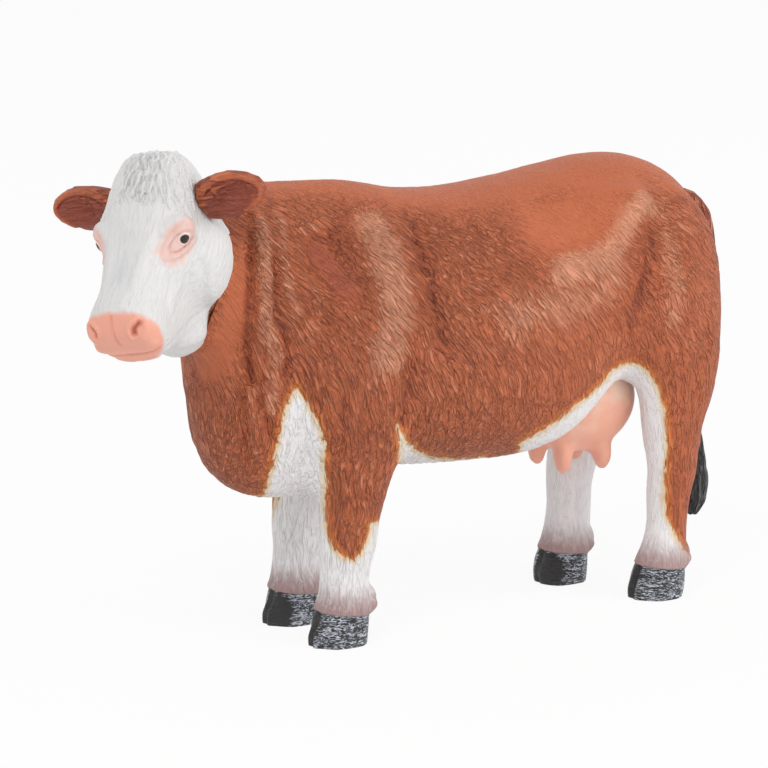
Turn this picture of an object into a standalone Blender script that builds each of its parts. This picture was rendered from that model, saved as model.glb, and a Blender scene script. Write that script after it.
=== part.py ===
"""Toy farm animal: a standing cow with her head turned, cast in PVC as mouldings that plug together.

The figure faces -X, her left side is at -Y, and she stands on Z = 0. The outer form is modelled as
overlapping closed forms that are fused and smoothed, then parted along the seams of the mouldings: a hollow
trunk in two halves, the head, two ears, four legs, the udder and the tail, each with its peg and socket.
"""

import math

import bmesh
import bpy
import numpy as np
from mathutils import Matrix, Vector

# Driving sizes in metres
BODY_LENGTH = 0.110
BODY_WIDTH = 0.039
WITHERS_HEIGHT = 0.083
NECK_WIDTH = 0.024
LEG_THICKNESS = 0.0094
HOOF_LENGTH = 0.0112
HOOF_HEIGHT = 0.0056
HEAD_LENGTH = 0.0340
HEAD_WIDTH = 0.0190
HEAD_DEPTH = 0.0210
EYE_RADIUS = 0.0019
EAR_LENGTH = 0.0160
EAR_WIDTH = 0.0086
EAR_THICKNESS = 0.0040
UDDER_LENGTH = 0.0240
UDDER_WIDTH = 0.0190
UDDER_DEPTH = 0.0200
TEAT_LENGTH = 0.0070
TEAT_RADIUS = 0.0018
TAIL_THICKNESS = 0.0040
MUSCLE_RELIEF = 0.0010
MUSCLE_WIDTH = 0.0060

# Pose of the head, in degrees: turned to her left, nose down, and her left side tipped up
HEAD_TURN = 33.0
HEAD_NOD = 51.5
HEAD_TIP = 9.2
EAR_RAISE = 6.0

# Mouldings: wall of the hollow trunk, and the pegs that join the pieces
WALL = 0.0030
FIT_GAP = 0.0003
LEG_PEG_RADIUS = 0.0022
LEG_PEG_LENGTH = 0.0060
HEAD_PEG_RADIUS = 0.0040
HEAD_PEG_LENGTH = 0.0080
EAR_PEG_RADIUS = 0.0012
EAR_PEG_LENGTH = 0.0026
UDDER_PEG_RADIUS = 0.0022
UDDER_PEG_LENGTH = 0.0030
TAIL_PEG_RADIUS = 0.0012
TAIL_PEG_LENGTH = 0.0050
DOWEL_RADIUS = 0.0015
DOWEL_LENGTH = 0.0045
OVERRUN = 0.0020

# How finely the fused forms are meshed, and the distance below which a cut's corners are one
BODY_GRAIN = 0.0013
FINE_GRAIN = 0.0008
BODY_SMOOTH_STEPS = 4
FINE_SMOOTH_STEPS = 2
HEAD_SMOOTH_STEPS = 7
BODY_KEEP_SHARE = 0.15
HEAD_KEEP_SHARE = 0.14
SMALL_KEEP_SHARE = 0.14
RING_POINTS = 28
STEPS_BETWEEN = 4
PEG_SIDES = 20
EAR_HOLLOW_SIDES = 14
WELD = 0.000003
SHARP_ANGLE = 40.0
ROUGHNESS = 0.5

# Further than any piece reaches, for the boxes that part the body
BEYOND = 2 * BODY_LENGTH

LEFT, RIGHT = -1, 1
SIDE_NAMES = {LEFT: "left", RIGHT: "right"}
X_WAY = Vector((1, 0, 0))
Y_WAY = Vector((0, 1, 0))
Z_WAY = Vector((0, 0, 1))

# Cross sections of the trunk from the chest back: place along in shares of BODY_LENGTH, then top, underside
# and widest line in shares of WITHERS_HEIGHT, then half width in shares of BODY_WIDTH
TRUNK_SHARES = (
    (-0.273, 0.976, 0.398, 0.627, 0.231),
    (-0.200, 0.994, 0.373, 0.651, 0.346),
    (-0.109, 0.988, 0.368, 0.627, 0.423),
    (-0.027, 0.964, 0.361, 0.602, 0.462),
    (0.073, 0.958, 0.355, 0.590, 0.495),
    (0.173, 0.970, 0.355, 0.590, 0.500),
    (0.255, 0.986, 0.385, 0.614, 0.487),
    (0.327, 1.000, 0.470, 0.675, 0.449),
    (0.409, 0.998, 0.530, 0.723, 0.423),
    (0.473, 0.965, 0.555, 0.700, 0.380),
    (0.520, 0.912, 0.565, 0.680, 0.290),
    (0.552, 0.845, 0.580, 0.680, 0.225),
    (0.572, 0.790, 0.600, 0.680, 0.155),
    (0.588, 0.750, 0.615, 0.680, 0.080),
)
TRUNK_SQUARENESS = 2.3
HOLLOW_SHARES = (-0.055, 0.310)

# Cross sections of the neck from the withers to the head, with the same columns, the half width in shares
# of NECK_WIDTH, and last how far the neck has swung to her left, in shares of NECK_WIDTH
NECK_SHARES = (
    (-0.045, 0.950, 0.542, 0.760, 0.500, 0.000),
    (-0.110, 0.990, 0.530, 0.750, 0.520, 0.010),
    (-0.182, 1.000, 0.530, 0.750, 0.510, 0.025),
    (-0.273, 1.007, 0.560, 0.770, 0.490, 0.067),
    (-0.364, 1.019, 0.600, 0.800, 0.470, 0.133),
    (-0.436, 1.030, 0.680, 0.840, 0.400, 0.183),
    (-0.482, 1.000, 0.750, 0.870, 0.250, 0.208),
)

# Level sections of the breast from the brisket up to the throat: height in shares of WITHERS_HEIGHT, front
# and back in shares of BODY_LENGTH, half width and swing to her left in shares of NECK_WIDTH
BREAST_SHARES = (
    (0.325, -0.305, -0.145, 0.190, 0.000),
    (0.361, -0.354, -0.091, 0.290, 0.008),
    (0.404, -0.380, -0.073, 0.350, 0.017),
    (0.464, -0.400, -0.073, 0.410, 0.033),
    (0.554, -0.411, -0.073, 0.450, 0.058),
    (0.651, -0.421, -0.073, 0.480, 0.083),
    (0.747, -0.436, -0.091, 0.470, 0.117),
    (0.819, -0.448, -0.127, 0.320, 0.142),
)
BREAST_SQUARENESS = 2.6

# Swellings on each side of the body: centre and radii, along in shares of BODY_LENGTH, sideways in shares
# of BODY_WIDTH and upwards in shares of WITHERS_HEIGHT
SHOULDER_SHARES = ((-0.155, 0.270, 0.650), (0.115, 0.170, 0.275))
HAUNCH_SHARES = ((0.438, 0.260, 0.700), (0.108, 0.172, 0.241))
HOOK_SHARES = ((0.327, 0.300, 0.830), (0.090, 0.125, 0.130))

# Muscles and hollows on both sides of the body, drawn in side view: how far each stands out in shares of
# MUSCLE_RELIEF, how far it spreads in shares of MUSCLE_WIDTH, and its line along in shares of BODY_LENGTH and
# up in shares of WITHERS_HEIGHT
MUSCLE_SHARES = (
    (-1.10, 1.10, ((-0.234, 0.870), (-0.214, 0.830), (-0.195, 0.786))),
    (0.60, 0.45, ((-0.216, 0.934), (-0.265, 0.901), (-0.262, 0.835), (-0.230, 0.769), (-0.185, 0.738))),
    (0.90, 1.00, ((-0.096, 0.879), (-0.112, 0.802), (-0.122, 0.716))),
    (-1.00, 0.60, ((-0.055, 0.896), (-0.049, 0.796), (-0.039, 0.715), (-0.026, 0.648))),
    (0.50, 0.75, ((-0.147, 0.659), (-0.141, 0.571), (-0.154, 0.483))),
    (1.00, 0.70, ((0.357, 0.926), (0.353, 0.918))),
    (0.80, 0.60, ((0.353, 0.918), (0.329, 0.879), (0.305, 0.837), (0.263, 0.812), (0.190, 0.797))),
    (-1.10, 1.40, ((0.184, 0.879), (0.246, 0.879), (0.296, 0.912))),
    (-1.00, 0.60, ((0.388, 0.863), (0.371, 0.787), (0.351, 0.716), (0.326, 0.659))),
    (0.60, 0.55, ((0.371, 0.928), (0.420, 0.892), (0.459, 0.846))),
    (0.60, 1.00, ((0.428, 0.703), (0.421, 0.615))),
    (0.80, 0.45, ((-0.337, 0.945), (-0.337, 0.909), (-0.342, 0.808), (-0.336, 0.721), (-0.319, 0.670))),
    (-0.80, 0.45, ((-0.349, 0.959), (-0.364, 0.872), (-0.370, 0.790), (-0.365, 0.690), (-0.352, 0.611))),
)

# Level sections of each leg from the trunk down: height in shares of WITHERS_HEIGHT, place along in shares
# of BODY_LENGTH, half length and half width in shares of LEG_THICKNESS, distance from the middle in shares
# of BODY_WIDTH
FORELEG_SHARES = (
    (0.760, -0.150, 0.850, 0.450, 0.250),
    (0.675, -0.145, 1.223, 0.798, 0.269),
    (0.578, -0.144, 1.170, 0.766, 0.272),
    (0.482, -0.145, 0.970, 0.691, 0.269),
    (0.398, -0.150, 0.760, 0.596, 0.256),
    (0.301, -0.160, 0.590, 0.521, 0.238),
    (0.229, -0.165, 0.564, 0.500, 0.231),
    (0.157, -0.171, 0.489, 0.436, 0.226),
    (0.096, -0.171, 0.532, 0.500, 0.223),
)
REAR_LEFT_SHARES = (
    (0.820, 0.425, 0.900, 0.450, 0.250),
    (0.747, 0.430, 1.220, 0.798, 0.269),
    (0.602, 0.442, 1.150, 0.766, 0.287),
    (0.482, 0.462, 0.830, 0.606, 0.282),
    (0.386, 0.458, 0.630, 0.521, 0.269),
    (0.289, 0.462, 0.500, 0.468, 0.262),
    (0.229, 0.455, 0.447, 0.415, 0.259),
    (0.169, 0.454, 0.404, 0.383, 0.256),
    (0.084, 0.445, 0.489, 0.468, 0.256),
)
REAR_RIGHT_SHARES = (
    (0.820, 0.425, 0.900, 0.450, 0.250),
    (0.747, 0.430, 1.220, 0.798, 0.269),
    (0.602, 0.436, 1.150, 0.766, 0.282),
    (0.482, 0.430, 0.915, 0.606, 0.269),
    (0.386, 0.400, 0.691, 0.521, 0.251),
    (0.289, 0.375, 0.553, 0.468, 0.236),
    (0.229, 0.366, 0.489, 0.415, 0.231),
    (0.169, 0.365, 0.468, 0.383, 0.226),
    (0.084, 0.357, 0.511, 0.468, 0.221),
)

# Hoof sections from the coronet to below the sole, which is then cut flat: height in shares of HOOF_HEIGHT,
# then step forward, half length and half width in shares of HOOF_LENGTH
HOOF_SHARES = (
    (1.00, 0.06, 0.50, 0.46),
    (0.00, 0.12, 0.54, 0.49),
    (-0.36, 0.14, 0.55, 0.50),
)

# Heights of the seams above the legs in shares of WITHERS_HEIGHT, and the place along, in shares of
# BODY_LENGTH, that parts the fore legs from the hind ones
FORE_SEAM_SHARE = 0.313
HIND_SEAM_SHARE = 0.380
BETWEEN_LEGS_SHARE = 0.300
LEGS = (
    ("front_left_leg", LEFT, FORELEG_SHARES, FORE_SEAM_SHARE),
    ("front_right_leg", RIGHT, FORELEG_SHARES, FORE_SEAM_SHARE),
    ("rear_left_leg", LEFT, REAR_LEFT_SHARES, HIND_SEAM_SHARE),
    ("rear_right_leg", RIGHT, REAR_RIGHT_SHARES, HIND_SEAM_SHARE),
)

# Sections of the head from the poll to the muzzle: place along in shares of HEAD_LENGTH, half width in
# shares of HEAD_WIDTH, then the brow line above, the jaw line below and the widest line below, in shares of
# HEAD_DEPTH
POLL_SHARES = (-0.501, -0.192, 1.100)
HEAD_SHARES = (
    (-0.050, 0.220, -0.130, 0.320, 0.200),
    (0.020, 0.345, -0.010, 0.560, 0.260),
    (0.120, 0.420, 0.030, 0.880, 0.400),
    (0.250, 0.470, 0.030, 1.060, 0.460),
    (0.380, 0.500, 0.010, 1.120, 0.480),
    (0.500, 0.440, -0.010, 1.120, 0.480),
    (0.630, 0.370, -0.020, 1.040, 0.440),
    (0.760, 0.320, -0.020, 0.930, 0.380),
    (0.870, 0.340, 0.000, 0.800, 0.320),
    (0.960, 0.360, -0.030, 0.650, 0.290),
    (1.030, 0.280, -0.140, 0.520, 0.300),
)
HEAD_SQUARENESS = 2.5

# Places on the head, along in shares of HEAD_LENGTH, out to the side in shares of HEAD_WIDTH and down from
# the brow in shares of HEAD_DEPTH; the cheek and the throat have their radii too
EYE_SHARES = (0.40, 0.43, 0.18)
EAR_ROOT_SHARES = (0.20, 0.30, 0.34)
CHEEK_SHARES = ((0.39, 0.35, 0.68), (0.26, 0.25, 0.37))
THROAT_SHARES = ((0.59, 0.00, 0.92), (0.27, 0.34, 0.34))

# Ear sections from root to tip: place along in shares of EAR_LENGTH, half width in shares of EAR_WIDTH and
# half thickness in shares of EAR_THICKNESS; then the centre and radii of its hollow, and where its peg
# starts
EAR_SHARES = (
    (0.00, 0.30, 0.50),
    (0.20, 0.40, 0.55),
    (0.45, 0.50, 0.50),
    (0.70, 0.46, 0.40),
    (0.90, 0.30, 0.30),
    (1.00, 0.12, 0.20),
)
EAR_HOLLOW_SHARES = ((0.66, 0.00, 0.55), (0.27, 0.30, 0.42))
EAR_PEG_SHARE = 0.28

# Udder: centre in shares of BODY_LENGTH and WITHERS_HEIGHT, and its teats in shares of its own sizes
UDDER_CENTRE_SHARES = (0.322, 0.452)
TEAT_SHARES = ((-0.22, 0.24), (0.14, 0.24))

# The tail from its root to the tip of the tuft: along in shares of BODY_LENGTH, height in shares of
# WITHERS_HEIGHT, half width and half depth in shares of TAIL_THICKNESS
TAIL_SHARES = (
    (0.505, 0.890, 0.575, 0.500),
    (0.548, 0.876, 0.575, 0.500),
    (0.574, 0.836, 0.575, 0.500),
    (0.585, 0.777, 0.550, 0.475),
    (0.587, 0.711, 0.525, 0.450),
    (0.585, 0.627, 0.525, 0.425),
    (0.576, 0.542, 0.500, 0.400),
    (0.567, 0.458, 0.475, 0.400),
    (0.563, 0.373, 0.450, 0.400),
    (0.564, 0.301, 0.550, 0.500),
    (0.568, 0.229, 0.800, 0.725),
    (0.567, 0.169, 0.650, 0.600),
    (0.563, 0.139, 0.250, 0.225),
)

# Dowels across the middle seam, in shares of BODY_LENGTH and WITHERS_HEIGHT, and the line of the head's peg
DOWEL_SHARES = ((-0.227, 0.640), (0.440, 0.750), (-0.300, 0.880))
HEAD_PEG_SHARES = (-0.455, 0.850)

RED_BROWN = (0.43, 0.12, 0.045, 1)
WHITE = (0.80, 0.79, 0.78, 1)
PINK = (0.81, 0.39, 0.27, 1)


def between(rows, steps):
    """The rows of a table with more rows among them, on a Catmull-Rom curve through the given ones."""
    finer = []
    for i in range(len(rows) - 1):
        four = (rows[max(i - 1, 0)], rows[i], rows[i + 1], rows[min(i + 2, len(rows) - 1)])
        for step in range(steps):
            t = step / steps
            finer.append(tuple(curve_value(values, t) for values in zip(*four)))
    finer.append(tuple(rows[-1]))
    return finer


def curve_value(values, t):
    """The value at the share t of the way from the second to the third of four values."""
    before, here, there, after = values
    slope = (there - before) / 2
    next_slope = (after - here) / 2
    rise = there - here
    square = 3 * rise - 2 * slope - next_slope
    cube = slope + next_slope - 2 * rise
    return here + slope * t + square * t**2 + cube * t**3


def ring(centre, across, up, half_width, rise, drop, squareness=2.0):
    """Points of a closed section that reaches half_width across its centre, rise above and drop below."""
    points = []
    for i in range(RING_POINTS):
        angle = math.tau * i / RING_POINTS
        side = math.copysign(abs(math.cos(angle)) ** (2 / squareness), math.cos(angle))
        height = math.copysign(abs(math.sin(angle)) ** (2 / squareness), math.sin(angle))
        points.append(centre + across * side * half_width + up * height * (rise if height > 0 else drop))
    return points


def finished(form):
    """A mesh from a bmesh, with its faces turned outwards."""
    bmesh.ops.recalc_face_normals(form, faces=form.faces)
    mesh = bpy.data.meshes.new("form")
    form.to_mesh(mesh)
    form.free()
    return mesh


def loft(rings):
    form = bmesh.new()
    loops = [[form.verts.new(point) for point in points] for points in rings]
    for first, second in zip(loops, loops[1:]):
        for i in range(RING_POINTS):
            j = (i + 1) % RING_POINTS
            form.faces.new((first[i], first[j], second[j], second[i]))
    form.faces.new(loops[0])
    form.faces.new(loops[-1])
    return finished(form)


def ball(centre, radii, turn=None, sides=RING_POINTS):
    """An ellipsoid, with its radii along X, Y and Z, or along the columns of turn."""
    form = bmesh.new()
    turn = turn or Matrix.Identity(3)
    matrix = Matrix.Translation(centre) @ turn.to_4x4() @ Matrix.Diagonal((*radii, 1))
    bmesh.ops.create_uvsphere(form, u_segments=sides, v_segments=sides // 2, radius=1, matrix=matrix)
    return finished(form)


def box(low, high):
    form = bmesh.new()
    low = Vector(low)
    high = Vector(high)
    matrix = Matrix.Translation((low + high) / 2) @ Matrix.Diagonal((*(high - low), 1))
    bmesh.ops.create_cube(form, size=1, matrix=matrix)
    return finished(form)


def pin(start, end, radius):
    """A round pin from start to end."""
    form = bmesh.new()
    way = end - start
    matrix = Matrix.Translation((start + end) / 2) @ way.to_track_quat("Z", "X").to_matrix().to_4x4()
    bmesh.ops.create_cone(form, cap_ends=True, segments=PEG_SIDES, radius1=radius, radius2=radius,
                          depth=way.length, matrix=matrix)
    return finished(form)


def evaluated(obj):
    """The object's mesh with its modifiers applied; the object itself is removed."""
    graph = bpy.context.evaluated_depsgraph_get()
    mesh = bpy.data.meshes.new_from_object(obj.evaluated_get(graph))
    bpy.data.objects.remove(obj)
    return mesh


def helper(mesh):
    obj = bpy.data.objects.new("helper", mesh)
    bpy.context.scene.collection.objects.link(obj)
    return obj


def fused(meshes, grain, smoothing):
    """One closed skin round overlapping closed forms, smoothed."""
    form = bmesh.new()
    for mesh in meshes:
        form.from_mesh(mesh)
    joined = bpy.data.meshes.new("joined")
    form.to_mesh(joined)
    form.free()
    obj = helper(joined)
    skin = obj.modifiers.new("skin", "REMESH")
    skin.mode = "VOXEL"
    skin.voxel_size = grain
    smooth = obj.modifiers.new("smooth", "SMOOTH")
    smooth.iterations = smoothing
    return evaluated(obj)


def thinned(mesh, keep_share):
    """The mesh with only this share of its faces, where its form needs them most."""
    obj = helper(mesh)
    thin = obj.modifiers.new("thin", "DECIMATE")
    thin.ratio = keep_share
    return evaluated(obj)


def joined_by(operation, mesh, tools):
    """The mesh after one Boolean with all the tool meshes, without slivers."""
    obj = helper(mesh)
    others = bpy.data.collections.new("tools")
    bpy.context.scene.collection.children.link(others)
    for tool in tools:
        others.objects.link(bpy.data.objects.new("tool", tool))
    boolean = obj.modifiers.new("boolean", "BOOLEAN")
    boolean.operation = operation
    boolean.solver = "EXACT"
    boolean.use_self = True
    boolean.operand_type = "COLLECTION"
    boolean.collection = others
    result = evaluated(obj)
    for other in list(others.objects):
        bpy.data.objects.remove(other)
    bpy.data.collections.remove(others)
    form = bmesh.new()
    form.from_mesh(result)
    bmesh.ops.remove_doubles(form, verts=form.verts, dist=WELD)
    bmesh.ops.dissolve_degenerate(form, edges=form.edges, dist=WELD)
    bmesh.ops.triangulate(form, faces=form.faces)
    form.to_mesh(result)
    form.free()
    return result


def cut(mesh, *tools):
    return joined_by("DIFFERENCE", mesh, tools)


def kept(mesh, tool):
    return joined_by("INTERSECT", mesh, [tool])


def added(mesh, *tools):
    return joined_by("UNION", mesh, tools)


def grown(mesh):
    """A copy that stands FIT_GAP off the mesh all round."""
    obj = helper(mesh)
    offset = obj.modifiers.new("offset", "DISPLACE")
    offset.mid_level = 0
    offset.strength = FIT_GAP
    return evaluated(obj)


def largest_body(mesh):
    """The mesh without the loose crumbs that a cut may leave."""
    form = bmesh.new()
    form.from_mesh(mesh)
    left = set(form.verts)
    bodies = []
    while left:
        body = set()
        edge_of = [left.pop()]
        while edge_of:
            vert = edge_of.pop()
            body.add(vert)
            for edge in vert.link_edges:
                other = edge.other_vert(vert)
                if other in left:
                    left.remove(other)
                    edge_of.append(other)
        bodies.append(body)
    bodies.sort(key=len)
    crumbs = [vert for body in bodies[:-1] for vert in body]
    bmesh.ops.delete(form, geom=crumbs, context="VERTS")
    return finished(form)


def trunk(inset=0.0, reach=(-1, 1)):
    """The barrel of the body, drawn in by inset, between two places along it."""
    rings = []
    for along, top, under, widest, half in between(TRUNK_SHARES, STEPS_BETWEEN):
        if not reach[0] <= along <= reach[1]:
            continue
        centre = Vector((along * BODY_LENGTH, 0, widest * WITHERS_HEIGHT))
        rise = (top - widest) * WITHERS_HEIGHT - inset
        drop = (widest - under) * WITHERS_HEIGHT - inset
        rings.append(ring(centre, Y_WAY, Z_WAY, half * BODY_WIDTH - inset, rise, drop, TRUNK_SQUARENESS))
    return loft(rings)


def neck():
    """The crest and sides of the neck, which swings to her left."""
    rings = []
    for along, top, under, widest, half, swing in between(NECK_SHARES, STEPS_BETWEEN):
        centre = Vector((along * BODY_LENGTH, LEFT * swing * NECK_WIDTH, widest * WITHERS_HEIGHT))
        rise = (top - widest) * WITHERS_HEIGHT
        drop = (widest - under) * WITHERS_HEIGHT
        rings.append(ring(centre, Y_WAY, Z_WAY, half * NECK_WIDTH, rise, drop))
    return loft(rings)


def breast():
    """The brisket and the throat in front of it."""
    rings = []
    for height, front, back, half, swing in between(BREAST_SHARES, STEPS_BETWEEN):
        middle = (front + back) / 2 * BODY_LENGTH
        half_length = (back - front) / 2 * BODY_LENGTH
        centre = Vector((middle, LEFT * swing * NECK_WIDTH, height * WITHERS_HEIGHT))
        deep = half * NECK_WIDTH
        rings.append(ring(centre, X_WAY, Y_WAY, half_length, deep, deep, BREAST_SQUARENESS))
    return loft(rings)


def swelling(shares, side):
    centre, radii = shares
    scales = (BODY_LENGTH, BODY_WIDTH, WITHERS_HEIGHT)
    place = Vector([share * scale for share, scale in zip(centre, scales)])
    place.y *= side
    return ball(place, [share * scale for share, scale in zip(radii, scales)])


def leg(rows, side):
    """A leg from inside the trunk down to its hoof, which reaches below the ground."""
    rings = []
    for height, along, half_length, half_width, out in between(rows, STEPS_BETWEEN):
        centre = Vector((along * BODY_LENGTH, side * out * BODY_WIDTH, height * WITHERS_HEIGHT))
        deep = half_width * LEG_THICKNESS
        rings.append(ring(centre, X_WAY, Y_WAY, half_length * LEG_THICKNESS, deep, deep))
    pastern = centre
    for height, forward, half_length, half_width in HOOF_SHARES:
        centre = Vector((pastern.x - forward * HOOF_LENGTH, pastern.y, height * HOOF_HEIGHT))
        deep = half_width * HOOF_LENGTH
        rings.append(ring(centre, X_WAY, Y_WAY, half_length * HOOF_LENGTH, deep, deep))
    return loft(rings)


def read_vectors(count, data, name):
    flat = np.empty(count * 3)
    data.foreach_get(name, flat)
    return flat.reshape(-1, 3)


def distance_to(places, line):
    """How far each place of a plane is from a line of several stretches."""
    nearest = np.full(len(places), BEYOND)
    for start, end in zip(line, line[1:]):
        way = end - start
        share = np.clip((places - start) @ way / (way @ way), 0, 1)
        gap = np.linalg.norm(places - start - share[:, None] * way, axis=1)
        nearest = np.minimum(nearest, gap)
    return nearest


def muscled(mesh):
    """The mesh with the muscles raised and the hollows sunk on both of its sides."""
    count = len(mesh.vertices)
    places = read_vectors(count, mesh.vertices, "co")
    ways = read_vectors(count, mesh.vertex_normals, "vector")
    push = np.zeros(count)
    for relief, spread, line in MUSCLE_SHARES:
        line = np.array(between(line, STEPS_BETWEEN)) * (BODY_LENGTH, WITHERS_HEIGHT)
        share = np.clip(distance_to(places[:, [0, 2]], line) / (spread * MUSCLE_WIDTH), 0, 1)
        push += relief * MUSCLE_RELIEF * (1 - share**2) ** 2
    push *= np.abs(ways[:, 1])
    places += ways * push[:, None]
    mesh.vertices.foreach_set("co", places.ravel())
    mesh.update()
    return mesh


def body_form():
    forms = [trunk(), neck(), breast()]
    for side in (LEFT, RIGHT):
        forms += [swelling(shares, side) for shares in (SHOULDER_SHARES, HAUNCH_SHARES, HOOK_SHARES)]
    forms += [leg(rows, side) for _, side, rows, _ in LEGS]
    return thinned(muscled(fused(forms, BODY_GRAIN, BODY_SMOOTH_STEPS)), BODY_KEEP_SHARE)


def head_frame():
    """The poll, and the ways along the face, up from the brow and out to her left."""
    turn = math.radians(HEAD_TURN)
    nod = math.radians(HEAD_NOD)
    heading = Vector((-math.cos(turn), -math.sin(turn), 0))
    aside = Vector((math.sin(turn), -math.cos(turn), 0))
    along = heading * math.cos(nod) - Z_WAY * math.sin(nod)
    above = heading * math.sin(nod) + Z_WAY * math.cos(nod)
    tip = Matrix.Rotation(math.radians(HEAD_TIP), 3, heading)
    x, y, z = POLL_SHARES
    poll = Vector((x * BODY_LENGTH, y * NECK_WIDTH, z * WITHERS_HEIGHT))
    return poll, tip @ along, tip @ above, tip @ aside


def on_head(shares, side):
    """A place on the head from its shares along, out to the side and down from the brow."""
    poll, along, above, aside = head_frame()
    far, out, down = shares
    return poll + along * far * HEAD_LENGTH - aside * side * out * HEAD_WIDTH - above * down * HEAD_DEPTH


def head_swelling(shares, side):
    """An ellipsoid that lies along the face."""
    place, radii = shares
    _, along, above, aside = head_frame()
    sizes = (radii[0] * HEAD_LENGTH, radii[1] * HEAD_WIDTH, radii[2] * HEAD_DEPTH)
    return ball(on_head(place, side), sizes, Matrix((along, aside, above)).transposed())


def head_form():
    poll, along, above, aside = head_frame()
    rings = []
    for far, half, brow, jaw, widest in between(HEAD_SHARES, STEPS_BETWEEN):
        centre = poll + along * far * HEAD_LENGTH - above * widest * HEAD_DEPTH
        rise = (brow + widest) * HEAD_DEPTH
        drop = (jaw - widest) * HEAD_DEPTH
        rings.append(ring(centre, aside, above, half * HEAD_WIDTH, rise, drop, HEAD_SQUARENESS))
    forms = [loft(rings), head_swelling(THROAT_SHARES, LEFT)]
    for side in (LEFT, RIGHT):
        forms.append(ball(on_head(EYE_SHARES, side), [EYE_RADIUS] * 3))
        forms.append(head_swelling(CHEEK_SHARES, side))
    return thinned(fused(forms, FINE_GRAIN, HEAD_SMOOTH_STEPS), HEAD_KEEP_SHARE)


def ear_frame(side):
    """The ear's root, its way out to the tip, its way forward and its way up, as columns of a turn."""
    _, along, above, aside = head_frame()
    out = -side * aside
    raised = Matrix.Rotation(math.radians(EAR_RAISE), 3, out.cross(Z_WAY)) @ out
    upward = (above - along - (above - along).dot(raised) * raised).normalized()
    forward = raised.cross(upward) if side == LEFT else upward.cross(raised)
    return on_head(EAR_ROOT_SHARES, side), raised, forward, upward


def ear_form(side):
    root, out, forward, upward = ear_frame(side)
    rings = []
    for far, half, thick in between(EAR_SHARES, STEPS_BETWEEN):
        deep = thick * EAR_THICKNESS
        rings.append(ring(root + out * far * EAR_LENGTH, upward, forward, half * EAR_WIDTH, deep, deep))
    whole = thinned(fused([loft(rings)], FINE_GRAIN, FINE_SMOOTH_STEPS), SMALL_KEEP_SHARE)
    centre, radii = EAR_HOLLOW_SHARES
    place = root + out * centre[0] * EAR_LENGTH + upward * centre[1] * EAR_WIDTH
    place += forward * centre[2] * EAR_THICKNESS
    sizes = (radii[0] * EAR_LENGTH, radii[1] * EAR_WIDTH, radii[2] * EAR_THICKNESS)
    turn = Matrix((out, upward, forward)).transposed()
    return cut(whole, ball(place, sizes, turn, EAR_HOLLOW_SIDES))


def udder_form():
    along, height = UDDER_CENTRE_SHARES
    centre = Vector((along * BODY_LENGTH, 0, height * WITHERS_HEIGHT))
    forms = [ball(centre, (UDDER_LENGTH / 2, UDDER_WIDTH / 2, UDDER_DEPTH / 2))]
    for far, out in TEAT_SHARES:
        for side in (LEFT, RIGHT):
            place = centre + Vector((far * UDDER_LENGTH, side * out * UDDER_WIDTH, -UDDER_DEPTH / 2))
            forms.append(ball(place, (TEAT_RADIUS, TEAT_RADIUS, TEAT_LENGTH / 2)))
    return thinned(fused(forms, FINE_GRAIN, FINE_SMOOTH_STEPS), SMALL_KEEP_SHARE)


def tail_form():
    rows = between(TAIL_SHARES, STEPS_BETWEEN)
    places = [Vector((along * BODY_LENGTH, 0, height * WITHERS_HEIGHT)) for along, height, _, _ in rows]
    rings = []
    for i, (_, _, half, deep) in enumerate(rows):
        way = (places[min(i + 1, len(rows) - 1)] - places[max(i - 1, 0)]).normalized()
        thick = deep * TAIL_THICKNESS
        rings.append(ring(places[i], Y_WAY, way.cross(Y_WAY), half * TAIL_THICKNESS, thick, thick))
    return thinned(fused([loft(rings)], FINE_GRAIN, FINE_SMOOTH_STEPS), SMALL_KEEP_SHARE)


def peg_and_socket(start, way, length, radius):
    """A peg that starts OVERRUN inside its own piece, and the hole that takes it."""
    way = way.normalized()
    inner = start - way * OVERRUN
    peg = pin(inner, start + way * length, radius)
    socket = pin(inner, start + way * (length + FIT_GAP), radius + FIT_GAP)
    return peg, socket


def leg_room(name, side, bottom, top):
    """A box round one leg, from bottom to top."""
    middle = BETWEEN_LEGS_SHARE * BODY_LENGTH
    low_x, high_x = (-BEYOND, middle) if name.startswith("front") else (middle, BEYOND)
    low_y, high_y = sorted((0, side * BEYOND))
    return box((low_x, low_y, bottom), (high_x, high_y, top))


def leg_peg(rows, side, seam):
    """The peg and the hole above a leg, on the leg's own line at the seam."""
    row = min(between(rows, STEPS_BETWEEN), key=lambda values: abs(values[0] - seam))
    start = Vector((row[1] * BODY_LENGTH, side * row[4] * BODY_WIDTH, seam * WITHERS_HEIGHT - FIT_GAP))
    return peg_and_socket(start, Z_WAY, LEG_PEG_LENGTH, LEG_PEG_RADIUS)


def piece(name, mesh, colour):
    """A named moulding with its own material, smooth but for its sharp edges."""
    mesh = largest_body(mesh)
    mesh.name = name
    material = bpy.data.materials.new(name)
    material.use_nodes = True
    shader = material.node_tree.nodes["Principled BSDF"]
    shader.inputs["Base Color"].default_value = colour
    shader.inputs["Roughness"].default_value = ROUGHNESS
    mesh.materials.clear()
    mesh.materials.append(material)
    mesh.shade_smooth()
    mesh.set_sharp_from_angle(angle=math.radians(SHARP_ANGLE))
    obj = bpy.data.objects.new(name, mesh)
    bpy.context.scene.collection.objects.link(obj)
    return obj


def set_on_origin(pieces):
    """Moves every piece alike, so that the origin is under the middle of the whole figure."""
    bpy.context.view_layer.update()
    corners = [obj.matrix_world @ Vector(corner) for obj in pieces for corner in obj.bound_box]
    low = Vector([min(corner[i] for corner in corners) for i in range(3)])
    high = Vector([max(corner[i] for corner in corners) for i in range(3)])
    middle = (low + high) / 2
    for obj in pieces:
        obj.location = (-middle.x, -middle.y, -low.z)


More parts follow.
